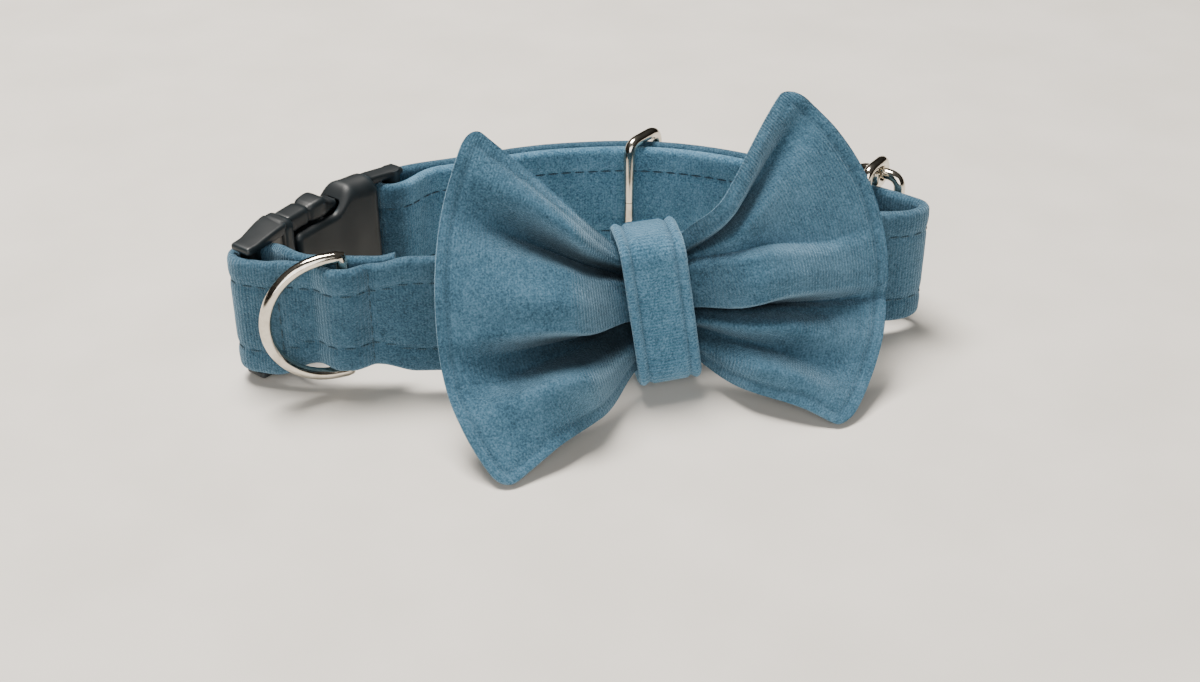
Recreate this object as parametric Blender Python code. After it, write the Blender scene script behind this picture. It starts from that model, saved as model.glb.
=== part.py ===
"""Pet bow tie collar: a velvet collar strap that stands on edge, with a bow tie on its front.

One strip of covered webbing is folded round the bar at each end of a side release buckle. A wire
keeper and a wire slide hold its doubled back, and a D-ring hangs in the doubled front.
Metres, +Z up, the bow faces -Y, and the origin is the middle of the footprint.
"""
import math

import bmesh
import bpy
from mathutils import Vector

# Strap
STRAP_HEIGHT = 0.0254
STRAP_THICKNESS = 0.0024
STRAP_EDGE_SHARE = 0.55
LOOP_LENGTH = 0.141
LOOP_DEPTH = 0.0525
STRAP_STEP = 0.0013
LONGEST_RUN = 0.0045
SHARPEST_TURN = math.radians(7.0)
WRAP_STEPS = 9
LAYER_GAP = 0.0004
FLAP_LENGTH = 0.030
BACK_END_SHORT = 0.010
FLAP_OPEN_START = 0.0020
FLAP_OPEN_RUN = 0.0095
BACK_OPEN_RUN = 0.012

# How the front rises towards the bow: places are shares of half the loop's length or of its depth
FRONT_RISE = 0.0021
RISE_LEFT = -0.90
RISE_LEFT_RUN = 0.13
RISE_RIGHT = 0.95
RISE_RIGHT_RUN = 0.35
RISE_REAR = -0.10
RISE_REAR_RUN = 0.30

# Fit between hardware and strap
CLEARANCE = 0.0003
EDGE_CLEARANCE = 0.0004

# Metal
WIRE = 0.0024
WIRE_BEND = 0.0026
RING_INNER_HEIGHT = 0.0228
RING_STRAIGHT = 0.003
RING_CORNER = 0.0010
RING_REST_ANGLE = math.radians(23.0)
RING_PLACE = 0.0192
RING_BAR_STEPS = 6
RING_ARC_STEPS = 18
NARROW_MARGIN = 0.0045
NARROW_RUN = 0.0040
HUMP_FLAT = 0.0012
HUMP_RUN = 0.0034
KEEPER_SLANT = math.radians(33.0)
SLIDE_LENGTH = 0.0120
SLIDE_STAND_OFF = 0.0006

# Buckle
BUCKLE_WIDTH = 0.0312
BUCKLE_THICKNESS = 0.0076
BUCKLE_SAG = 0.0025
BUCKLE_BAR = 0.0038
BUCKLE_BAR_SHORT = 0.0020
BUCKLE_WALL = 0.0014
BUCKLE_EDGE = 0.0009
BUCKLE_STEP = 0.0035
MALE_BASE = 0.0036
MALE_RAIL_THICKNESS = 0.0064
SLOT_MARGIN = 0.0026
WINDOW_LENGTH = 0.0105
WINDOW_MARGIN = 0.0006
ARM_WIDTH = 0.0040
ARM_INSET = 0.0004
TONGUE_WIDTH = 0.0070
TONGUE_BEYOND_ARMS = 0.0040
HOUSING_BACK = 0.0035
HOUSING_DEPTH_SHARE = 0.6
CUTTER_REACH = 0.0030

# Bow
BOW_WIDTH = 0.090
BOW_TOP_REACH = 0.0370
BOW_BOTTOM_REACH = 0.0339
BOW_THICKNESS = 0.0024
BOW_TURN = math.radians(6.0)
BOW_LEAN = math.radians(27.0)
BOW_FLARE = math.radians(34.0)
BOW_LEAN_RUN = 0.0261
BOW_HEIGHT = 0.0206
WAIST_HEIGHT = 0.0262
WAIST_DROP = 0.0020
WAIST_ROUND = 0.0012
TIP_ROUND = 0.0038
WAIST_PLEAT = 0.0019
BELLY_PLEAT = 0.0058
EDGE_PLEAT = 0.0028
BELLY_PROUD = 0.0060
EDGE_PROUD = 0.0044
BELLY_SHARE = 0.34
DRIFT_SHARE = 0.75
PULL_POWER = 2.2
LONGEST_STRETCH = 1.5
BOW_ROWS_ACROSS = 39
BOW_ROWS_ALONG = 12

# How far each outer corner is drawn towards the knot, as a share of half the bow's width
CORNER_PULLS = {
    ("left", "top"): 0.21, ("left", "bottom"): 0.21, ("right", "top"): 0.40, ("right", "bottom"): 0.30,
}

# Knot band
KNOT_WIDTH = 0.0129
KNOT_THICKNESS = 0.0018
KNOT_TOP_SHIFT = -0.0032
KNOT_FOOT_SHIFT = 0.0006
KNOT_TOP_BEND = 0.0036
KNOT_FOOT_BEND = 0.0050
KNOT_BACK_BEND = 0.0022

# Middle line of the strap in plan, from the bar at the left end, along the front, round the right end
# and back along the rear. Columns: x as a share of half the loop's length, y as a share of its depth.
STRAP_ROUTE = (
    (-0.943, -0.390), (-0.840, -0.450), (-0.681, -0.505), (-0.450, -0.560), (-0.255, -0.579),
    (-0.043, -0.574), (0.170, -0.549), (0.383, -0.506), (0.596, -0.484), (0.800, -0.462),
    (0.925, -0.446), (0.977, -0.395), (0.945, -0.325), (0.862, -0.217), (0.780, -0.110),
    (0.640, 0.060), (0.455, 0.232), (0.260, 0.337), (0.060, 0.372), (-0.110, 0.366),
    (-0.300, 0.318), (-0.440, 0.288), (-0.532, 0.248),
)
BOW_ROUTE_ROW = 6
SLIDE_ROUTE_ROW = 13
KEEPER_ROUTE_ROW = 17

# Folds across one side of the bow, from its bottom edge to its top edge. Columns: place across
# (-1 to 1) at the knot and at the outer edge, then the height at the waist, in the belly and at the
# outer edge, as shares of the pleat sizes.
LEFT_FOLDS = (
    (-1.00, -1.00, 0.00, 0.00, 0.00), (-0.60, -0.58, 0.70, 0.90, 0.30), (-0.27, -0.36, -0.60, -0.70, -0.25),
    (-0.20, -0.22, -0.90, -0.90, -0.25), (-0.12, -0.04, 0.80, 0.80, 0.15), (0.15, 0.18, 0.90, 1.00, 0.35),
    (0.46, 0.42, 0.80, 0.70, 0.15), (0.54, 0.60, -0.55, -0.70, -0.15), (0.80, 0.84, 0.70, 0.80, 0.45),
    (1.00, 1.00, 0.00, 0.10, 0.10),
)
RIGHT_FOLDS = (
    (-1.00, -1.00, 0.00, 0.00, 0.00), (-0.72, -0.86, 0.60, 0.50, 0.10), (-0.47, -0.69, -0.70, -0.35, 0.00),
    (-0.30, -0.45, 0.70, 0.35, 0.10), (-0.18, -0.27, -0.50, -0.35, -0.10), (-0.13, -0.20, -0.90, -0.90, -0.35),
    (-0.06, -0.10, 0.80, 0.80, 0.25), (0.25, 0.00, 1.00, 1.00, 0.40), (0.52, 0.12, 0.80, 0.90, 0.40),
    (0.59, 0.22, -0.20, 0.25, 0.30), (0.63, 0.72, -0.30, 0.40, 0.40), (0.68, 0.86, -0.45, -0.20, 0.20),
    (0.82, 0.94, 0.50, 0.40, 0.30), (1.00, 1.00, 0.00, 0.20, 0.10),
)

HALF_STRAP = STRAP_HEIGHT / 2.0
LAYER_PITCH = STRAP_THICKNESS + LAYER_GAP
WRAP_RADIUS = BUCKLE_BAR / 2.0 + CLEARANCE + STRAP_THICKNESS / 2.0
FOLD_SPREAD = 2.0 * WRAP_RADIUS - LAYER_PITCH
REST_HEIGHT = BUCKLE_WIDTH / 2.0
RING_RADIUS = (RING_INNER_HEIGHT + WIRE) / 2.0
SQUEEZED_HALF = RING_INNER_HEIGHT / 2.0 - EDGE_CLEARANCE
RING_HUMP = STRAP_THICKNESS / 2.0 + CLEARANCE + WIRE / 2.0
WIRE_LOOP_HALF = HALF_STRAP + EDGE_CLEARANCE + WIRE / 2.0


def clear_scene():
    for item in list(bpy.data.objects):
        bpy.data.objects.remove(item)


def make_material(name, colour, roughness, metallic=0.0):
    material = bpy.data.materials.new(name)
    material.use_nodes = True
    shader = material.node_tree.nodes["Principled BSDF"]
    shader.inputs["Base Color"].default_value = (*colour, 1.0)
    shader.inputs["Roughness"].default_value = roughness
    shader.inputs["Metallic"].default_value = metallic
    return material


def smooth(value):
    value = min(1.0, max(0.0, value))
    return value * value * (3.0 - 2.0 * value)


def blend(low, high, share):
    return low + (high - low) * share


def route_points():
    return [Vector((x * LOOP_LENGTH / 2.0, y * LOOP_DEPTH)) for x, y in STRAP_ROUTE]


def curve_point(points, place):
    """Point on a smooth curve through the points; place 2.5 lies halfway between rows 2 and 3."""
    row = min(int(place), len(points) - 2)
    share = place - row
    before = points[row - 1] if row > 0 else points[row] * 2.0 - points[row + 1]
    after = points[row + 2] if row + 2 < len(points) else points[row + 1] * 2.0 - points[row]
    a, b = points[row], points[row + 1]
    return 0.5 * (
        2.0 * a
        + (b - before) * share
        + (2.0 * before - 5.0 * a + 4.0 * b - after) * share ** 2
        + (3.0 * a - before - 3.0 * b + after) * share ** 3
    )


def route_walk():
    """The middle line as evenly spaced stations: place on the route, point, tangent and distance."""
    points = route_points()
    fine = 40
    places = [step / fine for step in range(fine * (len(points) - 1) + 1)]
    line = [curve_point(points, place) for place in places]
    distances = [0.0]
    for start, end in zip(line, line[1:]):
        distances.append(distances[-1] + (end - start).length)
    count = max(8, round(distances[-1] / STRAP_STEP))
    stations = []
    row = 0
    for step in range(count + 1):
        wanted = distances[-1] * step / count
        while row < len(line) - 2 and distances[row + 1] < wanted:
            row += 1
        share = (wanted - distances[row]) / (distances[row + 1] - distances[row])
        ahead = line[min(row + 3, len(line) - 1)]
        behind = line[max(row - 2, 0)]
        stations.append({
            "place": blend(places[row], places[row + 1], share),
            "point": line[row].lerp(line[row + 1], share),
            "tangent": (ahead - behind).normalized(),
            "distance": wanted,
        })
    return stations


def inward(tangent):
    """The side of the strap that faces the neck."""
    return Vector((-tangent.y, tangent.x))


def station_near(stations, key, value):
    return min(stations, key=lambda station: abs(station[key] - value))


def centre_height(point):
    """Height of the strap's middle: the bow holds the front a little above the rear."""
    along, deep = point.x / (LOOP_LENGTH / 2.0), point.y / LOOP_DEPTH
    from_left = smooth((along - RISE_LEFT) / RISE_LEFT_RUN)
    from_right = smooth((RISE_RIGHT - along) / RISE_RIGHT_RUN)
    from_rear = smooth((RISE_REAR - deep) / RISE_REAR_RUN)
    return REST_HEIGHT + FRONT_RISE * from_left * from_right * from_rear


def squeeze(distance):
    """Half height of the strap: it is drawn in where it passes through the D-ring."""
    away = abs(distance - RING_PLACE) - (RING_STRAIGHT + NARROW_MARGIN)
    return blend(SQUEEZED_HALF, HALF_STRAP, smooth(away / NARROW_RUN))


def ring_hump(distance):
    """How far the front layer stands out over the D-ring's bar."""
    return RING_HUMP * smooth(1.0 - (abs(distance - RING_PLACE) - HUMP_FLAT) / HUMP_RUN)


def thinned(stations):
    """Drops stations where the strap runs nearly straight, but none beside the D-ring."""
    kept = [stations[0]]
    for station in stations[1:-1]:
        run = station["distance"] - kept[-1]["distance"]
        turn = kept[-1]["tangent"].angle(station["tangent"])
        if station["distance"] < FLAP_LENGTH or run > LONGEST_RUN or turn > SHARPEST_TURN:
            kept.append(station)
    return kept + [stations[-1]]


def strap_line():
    """Every station of the folded strip in order: plan point, half height and centre height."""
    stations = thinned(route_walk())
    line = []

    def add(point, half=HALF_STRAP):
        line.append((point, half, centre_height(point)))

    def offset_point(station, offset):
        return station["point"] + inward(station["tangent"]) * offset

    flap = [s for s in stations if STRAP_STEP * 0.5 < s["distance"] < FLAP_LENGTH]
    for station in reversed(flap):
        away = station["distance"]
        spread = FOLD_SPREAD * smooth(1.0 - (away - FLAP_OPEN_START) / FLAP_OPEN_RUN)
        add(offset_point(station, LAYER_PITCH + spread), squeeze(away))

    def wrap(station, sign):
        """Half turn round a buckle bar, from the inner side to the outer side for sign 1."""
        tangent, normal = station["tangent"], inward(station["tangent"])
        centre = station["point"] + normal * WRAP_RADIUS
        outside = -tangent * sign
        for turn in range(WRAP_STEPS + 1):
            angle = math.pi * turn / WRAP_STEPS
            swing = normal * math.cos(angle) * sign + outside * math.sin(angle)
            add(centre + swing * WRAP_RADIUS)

    wrap(stations[0], 1)
    for station in stations[1:-1]:
        away = station["distance"]
        add(offset_point(station, -ring_hump(away)), squeeze(away))
    wrap(stations[-1], -1)

    slide = station_near(stations, "place", SLIDE_ROUTE_ROW)
    total = stations[-1]["distance"]
    last = slide["distance"] + BACK_END_SHORT
    for station in reversed(stations[1:-1]):
        if station["distance"] < last:
            break
        away = total - station["distance"]
        spread = FOLD_SPREAD * smooth(1.0 - away / BACK_OPEN_RUN)
        add(offset_point(station, LAYER_PITCH + spread))
    return line


def mesh_object(name, bm, material, sharp_angle=40.0):
    bmesh.ops.recalc_face_normals(bm, faces=bm.faces)
    mesh = bpy.data.meshes.new(name)
    bm.to_mesh(mesh)
    bm.free()
    mesh.materials.append(material)
    mesh.shade_smooth()
    mesh.set_sharp_from_angle(angle=math.radians(sharp_angle))
    item = bpy.data.objects.new(name, mesh)
    bpy.context.collection.objects.link(item)
    return item


def bridge_rings(bm, rings):
    """Joins each ring of vertices to the next with quads."""
    for ring, following in zip(rings, rings[1:]):
        count = len(ring)
        for corner in range(count):
            after = (corner + 1) % count
            bm.faces.new((ring[corner], ring[after], following[after], following[corner]))


def build_strap(material):
    line = strap_line()
    bm = bmesh.new()
    half_thick = STRAP_THICKNESS / 2.0
    soft = half_thick * STRAP_EDGE_SHARE
    rings = []
    for index, (point, half, centre) in enumerate(line):
        ahead = line[min(index + 1, len(line) - 1)][0]
        behind = line[max(index - 1, 0)][0]
        side = inward((ahead - behind).normalized())
        outline = (
            (half_thick, half - soft), (half_thick - soft, half), (soft - half_thick, half),
            (-half_thick, half - soft), (-half_thick, soft - half), (soft - half_thick, -half),
            (half_thick - soft, -half), (half_thick, soft - half),
        )
        ring = []
        for across, up in outline:
            place = point + side * across
            ring.append(bm.verts.new((place.x, place.y, centre + up)))
        rings.append(ring)
    bridge_rings(bm, rings)
    bm.faces.new(rings[0])
    bm.faces.new(rings[-1])
    return mesh_object("strap", bm, material)


def wire_object(name, points, material, closed=True, sides=1):
    """A round wire along the points."""
    curve = bpy.data.curves.new(name, "CURVE")
    curve.dimensions = "3D"
    curve.bevel_depth = WIRE / 2.0
    curve.bevel_resolution = sides
    curve.use_fill_caps = not closed
    spline = curve.splines.new("POLY")
    spline.points.add(len(points) - 1)
    for spline_point, point in zip(spline.points, points):
        spline_point.co = (*point, 1.0)
    spline.use_cyclic_u = closed
    spline.use_smooth = True
    curve.materials.append(material)
    item = bpy.data.objects.new(name, curve)
    bpy.context.collection.objects.link(item)
    return item


def rounded_corners(corners, radii, steps=4):
    """A closed outline with each corner turned into an arc; radii is one radius or one for each."""
    outline = []
    count = len(corners)
    for index, corner in enumerate(corners):
        radius = radii if isinstance(radii, float) else radii[index]
        before = (corners[index - 1] - corner).normalized()
        after = (corners[(index + 1) % count] - corner).normalized()
        start, end = corner + before * radius, corner + after * radius
        for step in range(steps + 1):
            share = step / steps
            outline.append(start * (1 - share) ** 2 + corner * 2 * share * (1 - share) + end * share ** 2)
    return outline


def plan_frame(station, offset=0.0):
    """Place, direction along the strap and direction out of the loop, in three dimensions."""
    tangent = station["tangent"]
    out = -inward(tangent)
    point = station["point"] - out * offset
    height = centre_height(station["point"])
    return (
        Vector((point.x, point.y, height)),
        Vector((tangent.x, tangent.y, 0.0)),
        Vector((out.x, out.y, 0.0)),
    )


def build_d_ring(material, frame):
    stations = route_walk()
    station = station_near(stations, "distance", RING_PLACE)
    place, along, out = plan_frame(station)
    reach = (-along * math.cos(RING_REST_ANGLE) + out * math.sin(RING_REST_ANGLE)).normalized()
    up = Vector((0.0, 0.0, 1.0))
    bar = [up * RING_RADIUS * (1.0 - 2.0 * (step + 0.5) / RING_BAR_STEPS) for step in range(RING_BAR_STEPS)]
    arc = []
    for step in range(RING_ARC_STEPS + 1):
        angle = math.pi * step / RING_ARC_STEPS
        rise = -math.cos(angle) * RING_RADIUS
        arc.append(up * rise + reach * (RING_STRAIGHT + math.sin(angle) * RING_RADIUS))
    low_corner = [up * -RING_RADIUS + reach * RING_CORNER * share for share in (0.3, 1.4)]
    high_corner = [up * RING_RADIUS + reach * RING_CORNER * share for share in (1.4, 0.3)]
    ring = wire_object("d_ring", bar + low_corner + arc + high_corner, material, sides=2)
    ring.location = place
    ring.parent = frame
    return ring


def build_keeper(material, frame):
    """A rectangular wire loop round both layers of the rear, lying askew on them."""
    station = station_near(route_walk(), "place", KEEPER_ROUTE_ROW)
    place, along, out = plan_frame(station, LAYER_PITCH / 2.0)
    across = LAYER_PITCH / 2.0 + STRAP_THICKNESS / 2.0 + CLEARANCE + WIRE / 2.0
    skew = (out * math.cos(KEEPER_SLANT) - along * math.sin(KEEPER_SLANT)) / math.cos(KEEPER_SLANT)
    up = Vector((0.0, 0.0, WIRE_LOOP_HALF))
    corners = [
        skew * across + up, skew * -across + up, skew * -across - up, skew * across - up,
    ]
    keeper = wire_object("keeper_loop", rounded_corners(corners, WIRE_BEND), material, sides=2)
    keeper.location = place
    keeper.parent = frame
    return keeper


def join_by_union(base, extra):
    """Welds a second solid to the first and hides the second."""
    union = base.modifiers.new("join_" + extra.name, "BOOLEAN")
    union.operation = "UNION"
    union.solver = "EXACT"
    union.object = extra
    hide_cutter(extra)


def cut_away(base, cutter):
    cut = base.modifiers.new("cut_" + cutter.name, "BOOLEAN")
    cut.operation = "DIFFERENCE"
    cut.solver = "EXACT"
    cut.object = cutter
    hide_cutter(cutter)


def hide_cutter(item):
    item.hide_render = True
    item.display_type = "WIRE"


def wire_mesh(item):
    """Turns a wire into a mesh object of the same name, ready to be welded to another."""
    graph = bpy.context.evaluated_depsgraph_get()
    mesh = bpy.data.meshes.new_from_object(item.evaluated_get(graph))
    name, location, parent = item.name, item.location.copy(), item.parent
    bpy.data.objects.remove(item)
    solid = bpy.data.objects.new(name, mesh)
    solid.location = location
    solid.parent = parent
    bpy.context.collection.objects.link(solid)
    return solid


def build_slide(material, frame):
    """A wire frame outside the strap whose middle bar crosses the strap's inner face."""
    station = station_near(route_walk(), "place", SLIDE_ROUTE_ROW)
    place, along, out = plan_frame(station)
    depth = STRAP_THICKNESS / 2.0 + CLEARANCE + WIRE / 2.0
    bow_out = out * (depth + SLIDE_STAND_OFF)
    reach = along * (SLIDE_LENGTH - WIRE) / 2.0
    up = Vector((0.0, 0.0, WIRE_LOOP_HALF))
    corners = [bow_out + reach + up, bow_out - reach + up, bow_out - reach - up, bow_out + reach - up]
    outer = wire_object("tri_glide", rounded_corners(corners, WIRE_BEND), material, sides=2)
    outer.location = place
    outer.parent = frame
    inside = -out * depth
    bends = rounded_corners([bow_out + up, inside + up, inside - up, bow_out - up], WIRE)
    per_bend = len(bends) // 4
    bar_line = [bow_out + up, *bends[per_bend:-per_bend], bow_out - up]
    bar = wire_object("tri_glide_bar", bar_line, material, closed=False, sides=2)
    bar.location = place
    bar.parent = frame
    bpy.context.view_layer.update()
    outer = wire_mesh(outer)
    bar = wire_mesh(bar)
    join_by_union(outer, bar)
    return outer


class BuckleSpace:
    """The buckle's own axes in plan: u from the left bar to the right bar, n out of the loop."""

    def __init__(self):
        stations = route_walk()
        first, last = stations[0], stations[-1]
        self.start = first["point"] + inward(first["tangent"]) * WRAP_RADIUS
        self.end = last["point"] + inward(last["tangent"]) * WRAP_RADIUS
        self.span = (self.end - self.start).length
        self.u_axis = (self.end - self.start).normalized()
        self.n_axis = Vector((-self.u_axis.y, self.u_axis.x))

    def plan(self, u, n):
        share = min(1.0, max(0.0, u / self.span))
        bow = BUCKLE_SAG * (1.0 - (2.0 * share - 1.0) ** 2)
        return self.start + self.u_axis * u + self.n_axis * (n + bow)


def buckle_slab(name, space, u_range, n_range, z_range, material, soft=0.0):
    """A block that follows the buckle's curve; soft cuts its four long edges back."""
    steps = max(1, round((u_range[1] - u_range[0]) / BUCKLE_STEP))
    (n_low, n_high), (z_low, z_high) = n_range, z_range
    outline = ((n_low + soft, z_low), (n_high - soft, z_low), (n_high, z_low + soft), (n_high, z_high - soft),
               (n_high - soft, z_high), (n_low + soft, z_high), (n_low, z_high - soft), (n_low, z_low + soft))
    if not soft:
        outline = outline[0::2]
    bm = bmesh.new()
    rings = []
    for step in range(steps + 1):
        u = blend(u_range[0], u_range[1], step / steps)
        ring = []
        for n, z in outline:
            point = space.plan(u, n)
            ring.append(bm.verts.new((point.x, point.y, REST_HEIGHT + z)))
        rings.append(ring)
    bridge_rings(bm, rings)
    bm.faces.new(rings[0])
    bm.faces.new(rings[-1])
    return mesh_object(name, bm, material)


def buckle_bar(name, centre, material):
    height = BUCKLE_WIDTH - BUCKLE_BAR_SHORT
    bm = bmesh.new()
    bmesh.ops.create_cone(bm, cap_ends=True, segments=12, radius1=BUCKLE_BAR / 2.0,
                          radius2=BUCKLE_BAR / 2.0, depth=height)
    bmesh.ops.translate(bm, verts=bm.verts, vec=(centre.x, centre.y, REST_HEIGHT))
    return mesh_object(name, bm, material)


def mirrored(low, high):
    """The same range above and below the middle."""
    return (low, high), (-high, -low)


def build_buckle_male(material):
    """Bar, rails, base, two spring arms and the tongue between them."""
    space = BuckleSpace()
    half = BUCKLE_WIDTH / 2.0
    rail_low = HALF_STRAP + EDGE_CLEARANCE
    thick = BUCKLE_THICKNESS / 2.0
    base_start = WRAP_RADIUS + STRAP_THICKNESS / 2.0 + SLOT_MARGIN
    base_end = base_start + MALE_BASE
    base = buckle_slab("buckle_male", space, (base_start, base_end), (-thick, thick), (-half, half),
                       material, BUCKLE_EDGE)
    bar = buckle_bar("male_bar", space.start, material)
    join_by_union(base, bar)
    rail_half = MALE_RAIL_THICKNESS / 2.0
    for side, z_range in zip(("top", "bottom"), mirrored(rail_low, half)):
        rail = buckle_slab("male_rail_" + side, space, (-rail_half, base_start + MALE_BASE / 2.0),
                           (-rail_half, rail_half), z_range, material, BUCKLE_EDGE)
        join_by_union(base, rail)
    arm_end = base_end + WINDOW_LENGTH
    inner_half = thick - BUCKLE_WALL - CLEARANCE
    for side, z_range in zip(("top", "bottom"), mirrored(half - ARM_WIDTH, half - ARM_INSET)):
        arm = buckle_slab("male_arm_" + side, space, (base_start + MALE_BASE / 2.0, arm_end),
                          (-inner_half, inner_half), z_range, material, BUCKLE_EDGE)
        join_by_union(base, arm)
    tongue_end = arm_end + TONGUE_BEYOND_ARMS
    tongue = buckle_slab("male_tongue", space, (base_start + MALE_BASE / 2.0, tongue_end),
                         (-inner_half, inner_half), (-TONGUE_WIDTH / 2.0, TONGUE_WIDTH / 2.0), material)
    join_by_union(base, tongue)
    return base


def build_buckle_female(material):
    """Hollow housing with a window at each edge, rails and bar."""
    space = BuckleSpace()
    half = BUCKLE_WIDTH / 2.0
    rail_low = HALF_STRAP + EDGE_CLEARANCE
    thick = BUCKLE_THICKNESS / 2.0
    mouth = WRAP_RADIUS + STRAP_THICKNESS / 2.0 + SLOT_MARGIN + MALE_BASE + CLEARANCE
    back = space.span - WRAP_RADIUS - STRAP_THICKNESS / 2.0 - SLOT_MARGIN * 0.5
    body = buckle_slab("buckle_female", space, (mouth, back), (-thick, thick), (-half, half),
                       material, BUCKLE_EDGE)
    window_end = mouth + WINDOW_LENGTH + CLEARANCE
    window_low = half - ARM_WIDTH - WINDOW_MARGIN
    for side, z_range in zip(("top", "bottom"), mirrored(window_low, half + CUTTER_REACH)):
        window = buckle_slab("window_" + side, space, (mouth - CUTTER_REACH, window_end),
                             (-thick - CUTTER_REACH, thick + CUTTER_REACH), z_range, material)
        cut_away(body, window)
    hollow_half = thick - BUCKLE_WALL
    hollow_top = half - ARM_WIDTH * HOUSING_DEPTH_SHARE
    hollow = buckle_slab("housing_hollow", space, (mouth - CUTTER_REACH, back - HOUSING_BACK),
                         (-hollow_half, hollow_half), (-hollow_top, hollow_top), material)
    cut_away(body, hollow)
    bar = buckle_bar("female_bar", space.end, material)
    join_by_union(body, bar)
    rail_thick = BUCKLE_BAR / 2.0
    for side, z_range in zip(("top", "bottom"), mirrored(rail_low, half)):
        rail = buckle_slab("female_rail_" + side, space, (back - HOUSING_BACK / 2.0, space.span + rail_thick),
                           (-rail_thick, rail_thick), z_range, material)
        join_by_union(body, rail)
    return body


def fold_point(side, along, share):
    """Place across the cloth, and how far the cloth stands forward there: along runs 0 at the knot to 1
    at the outer edge, and share runs 0 at the bottom fold to 1 at the top fold.
    """
    folds = LEFT_FOLDS if side < 0 else RIGHT_FOLDS
    place = share * (len(folds) - 1)
    row = min(int(place), len(folds) - 2)
    drift = smooth(along / DRIFT_SHARE)
    low_place, high_place = [blend(fold[0], fold[1], drift) for fold in folds[row:row + 2]]
    across = blend(low_place, high_place, place - row)
    eased = smooth(place - row)
    heights = [blend(low, high, eased) for low, high in zip(folds[row][2:], folds[row + 1][2:])]
    waist = WAIST_PLEAT * heights[0] - WAIST_ROUND * across ** 2
    belly = BELLY_PROUD + BELLY_PLEAT * heights[1]
    edge = EDGE_PROUD + EDGE_PLEAT * heights[2]
    if along < BELLY_SHARE:
        return across, blend(waist, belly, smooth(along / BELLY_SHARE))
    return across, blend(belly, edge, smooth((along - BELLY_SHARE) / (1.0 - BELLY_SHARE)))


def knot_shift(height_share):
    """How far the leaning knot band stands to the right at a share of its height."""
    return blend(KNOT_FOOT_SHIFT, KNOT_TOP_SHIFT, height_share)


def bow_outline(side, along, across):
    """Flat place of the cloth seen from the front: sideways from the middle, and up."""
    pull = CORNER_PULLS["left" if side < 0 else "right", "top" if across > 0.0 else "bottom"]
    reach = BOW_TOP_REACH if across > 0.0 else BOW_BOTTOM_REACH
    outer_side = BOW_WIDTH / 2.0 * (1.0 - pull * abs(across) ** PULL_POWER)
    root = side * KNOT_WIDTH / 2.0 + knot_shift((across + 1.0) / 2.0)
    waist = WAIST_HEIGHT / 2.0 * across - WAIST_DROP
    return blend(root, side * outer_side, along), blend(waist, reach * across, along)


def round_corner(along, across):
    """Draws the grid's outer corners in, so that each tip of the bow is a quarter round."""
    length_share = TIP_ROUND / (BOW_WIDTH / 2.0)
    width_share = TIP_ROUND / (BOW_TOP_REACH * 0.9)
    x = (along - (1.0 - length_share)) / length_share
    y = (abs(across) - (1.0 - width_share)) / width_share
    if x <= 0.0 or y <= 0.0:
        return along, across
    turned_x = x * math.sqrt(1.0 - y * y / 2.0)
    turned_y = y * math.sqrt(1.0 - x * x / 2.0)
    new_across = 1.0 - width_share + turned_y * width_share
    return 1.0 - length_share + turned_x * length_share, math.copysign(new_across, across)


def lean_offset(sideways, rise):
    """Back and up from the bow's middle at a height along the cloth, and the lean there."""
    share = smooth(abs(sideways) / BOW_LEAN_RUN)
    back, up, lean = 0.0, 0.0, 0.0
    steps = 8
    for step in range(steps):
        here = rise * (step + 0.5) / steps
        flare = BOW_FLARE * max(0.0, -here) / BOW_BOTTOM_REACH
        lean = blend(BOW_TURN, BOW_LEAN + flare, share)
        back += math.sin(lean) * rise / steps
        up += math.cos(lean) * rise / steps
    return back, up, lean


def bow_middle():
    """Middle of the bow's waist in front of the strap, and the strap's turn in plan there."""
    station = station_near(route_walk(), "place", BOW_ROUTE_ROW)
    thick = WAIST_PLEAT + BOW_THICKNESS / 2.0 * 1.25
    turn_room = math.tan(BOW_TURN) * WAIST_HEIGHT / 2.0
    forward = STRAP_THICKNESS / 2.0 + CLEARANCE + thick + turn_room * 0.8
    point = station["point"]
    yaw = math.atan2(station["tangent"].y, station["tangent"].x)
    return Vector((point.x, point.y - forward, BOW_HEIGHT)), yaw


def bow_point(middle, yaw, side, along, share, depth_shift):
    step = 0.01
    across, depth = fold_point(side, along, share)
    below, depth_below = fold_point(side, along, max(0.0, share - step))
    above, depth_above = fold_point(side, along, min(1.0, share + step))
    run = bow_outline(side, along, above)[1] - bow_outline(side, along, below)[1]
    stretch = min(LONGEST_STRETCH, math.hypot(run, depth_above - depth_below) / run)
    depth += depth_shift * stretch
    sideways, rise = bow_outline(side, *round_corner(along, across))
    back, up, lean = lean_offset(sideways, rise)
    x = sideways * math.cos(yaw)
    y = sideways * math.sin(yaw) + back - depth * math.cos(lean)
    return middle + Vector((x, y, up + depth * math.sin(lean)))


def build_bow(material):
    """One double sheet gathered at its middle, lofted from the left edge to the right edge."""
    middle, yaw = bow_middle()
    rows = [row / BOW_ROWS_ACROSS for row in range(BOW_ROWS_ACROSS + 1)]
    places = [(-1, 1.0 - step / BOW_ROWS_ALONG) for step in range(BOW_ROWS_ALONG + 1)]
    places += [(1, step / BOW_ROWS_ALONG) for step in range(BOW_ROWS_ALONG + 1)]
    half = BOW_THICKNESS / 2.0
    bm = bmesh.new()
    rings = []
    for side, along in places:
        front = [bow_point(middle, yaw, side, along, share, half) for share in rows]
        rear = [bow_point(middle, yaw, side, along, share, -half) for share in reversed(rows)]
        rings.append([bm.verts.new(point) for point in front + rear])
    bridge_rings(bm, rings)
    for ring in (rings[0], rings[-1]):
        count = len(ring)
        for row in range(len(rows) - 1):
            bm.faces.new((ring[row], ring[row + 1], ring[count - 2 - row], ring[count - 1 - row]))
    return mesh_object("bow_body", bm, material, sharp_angle=60.0)


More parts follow.
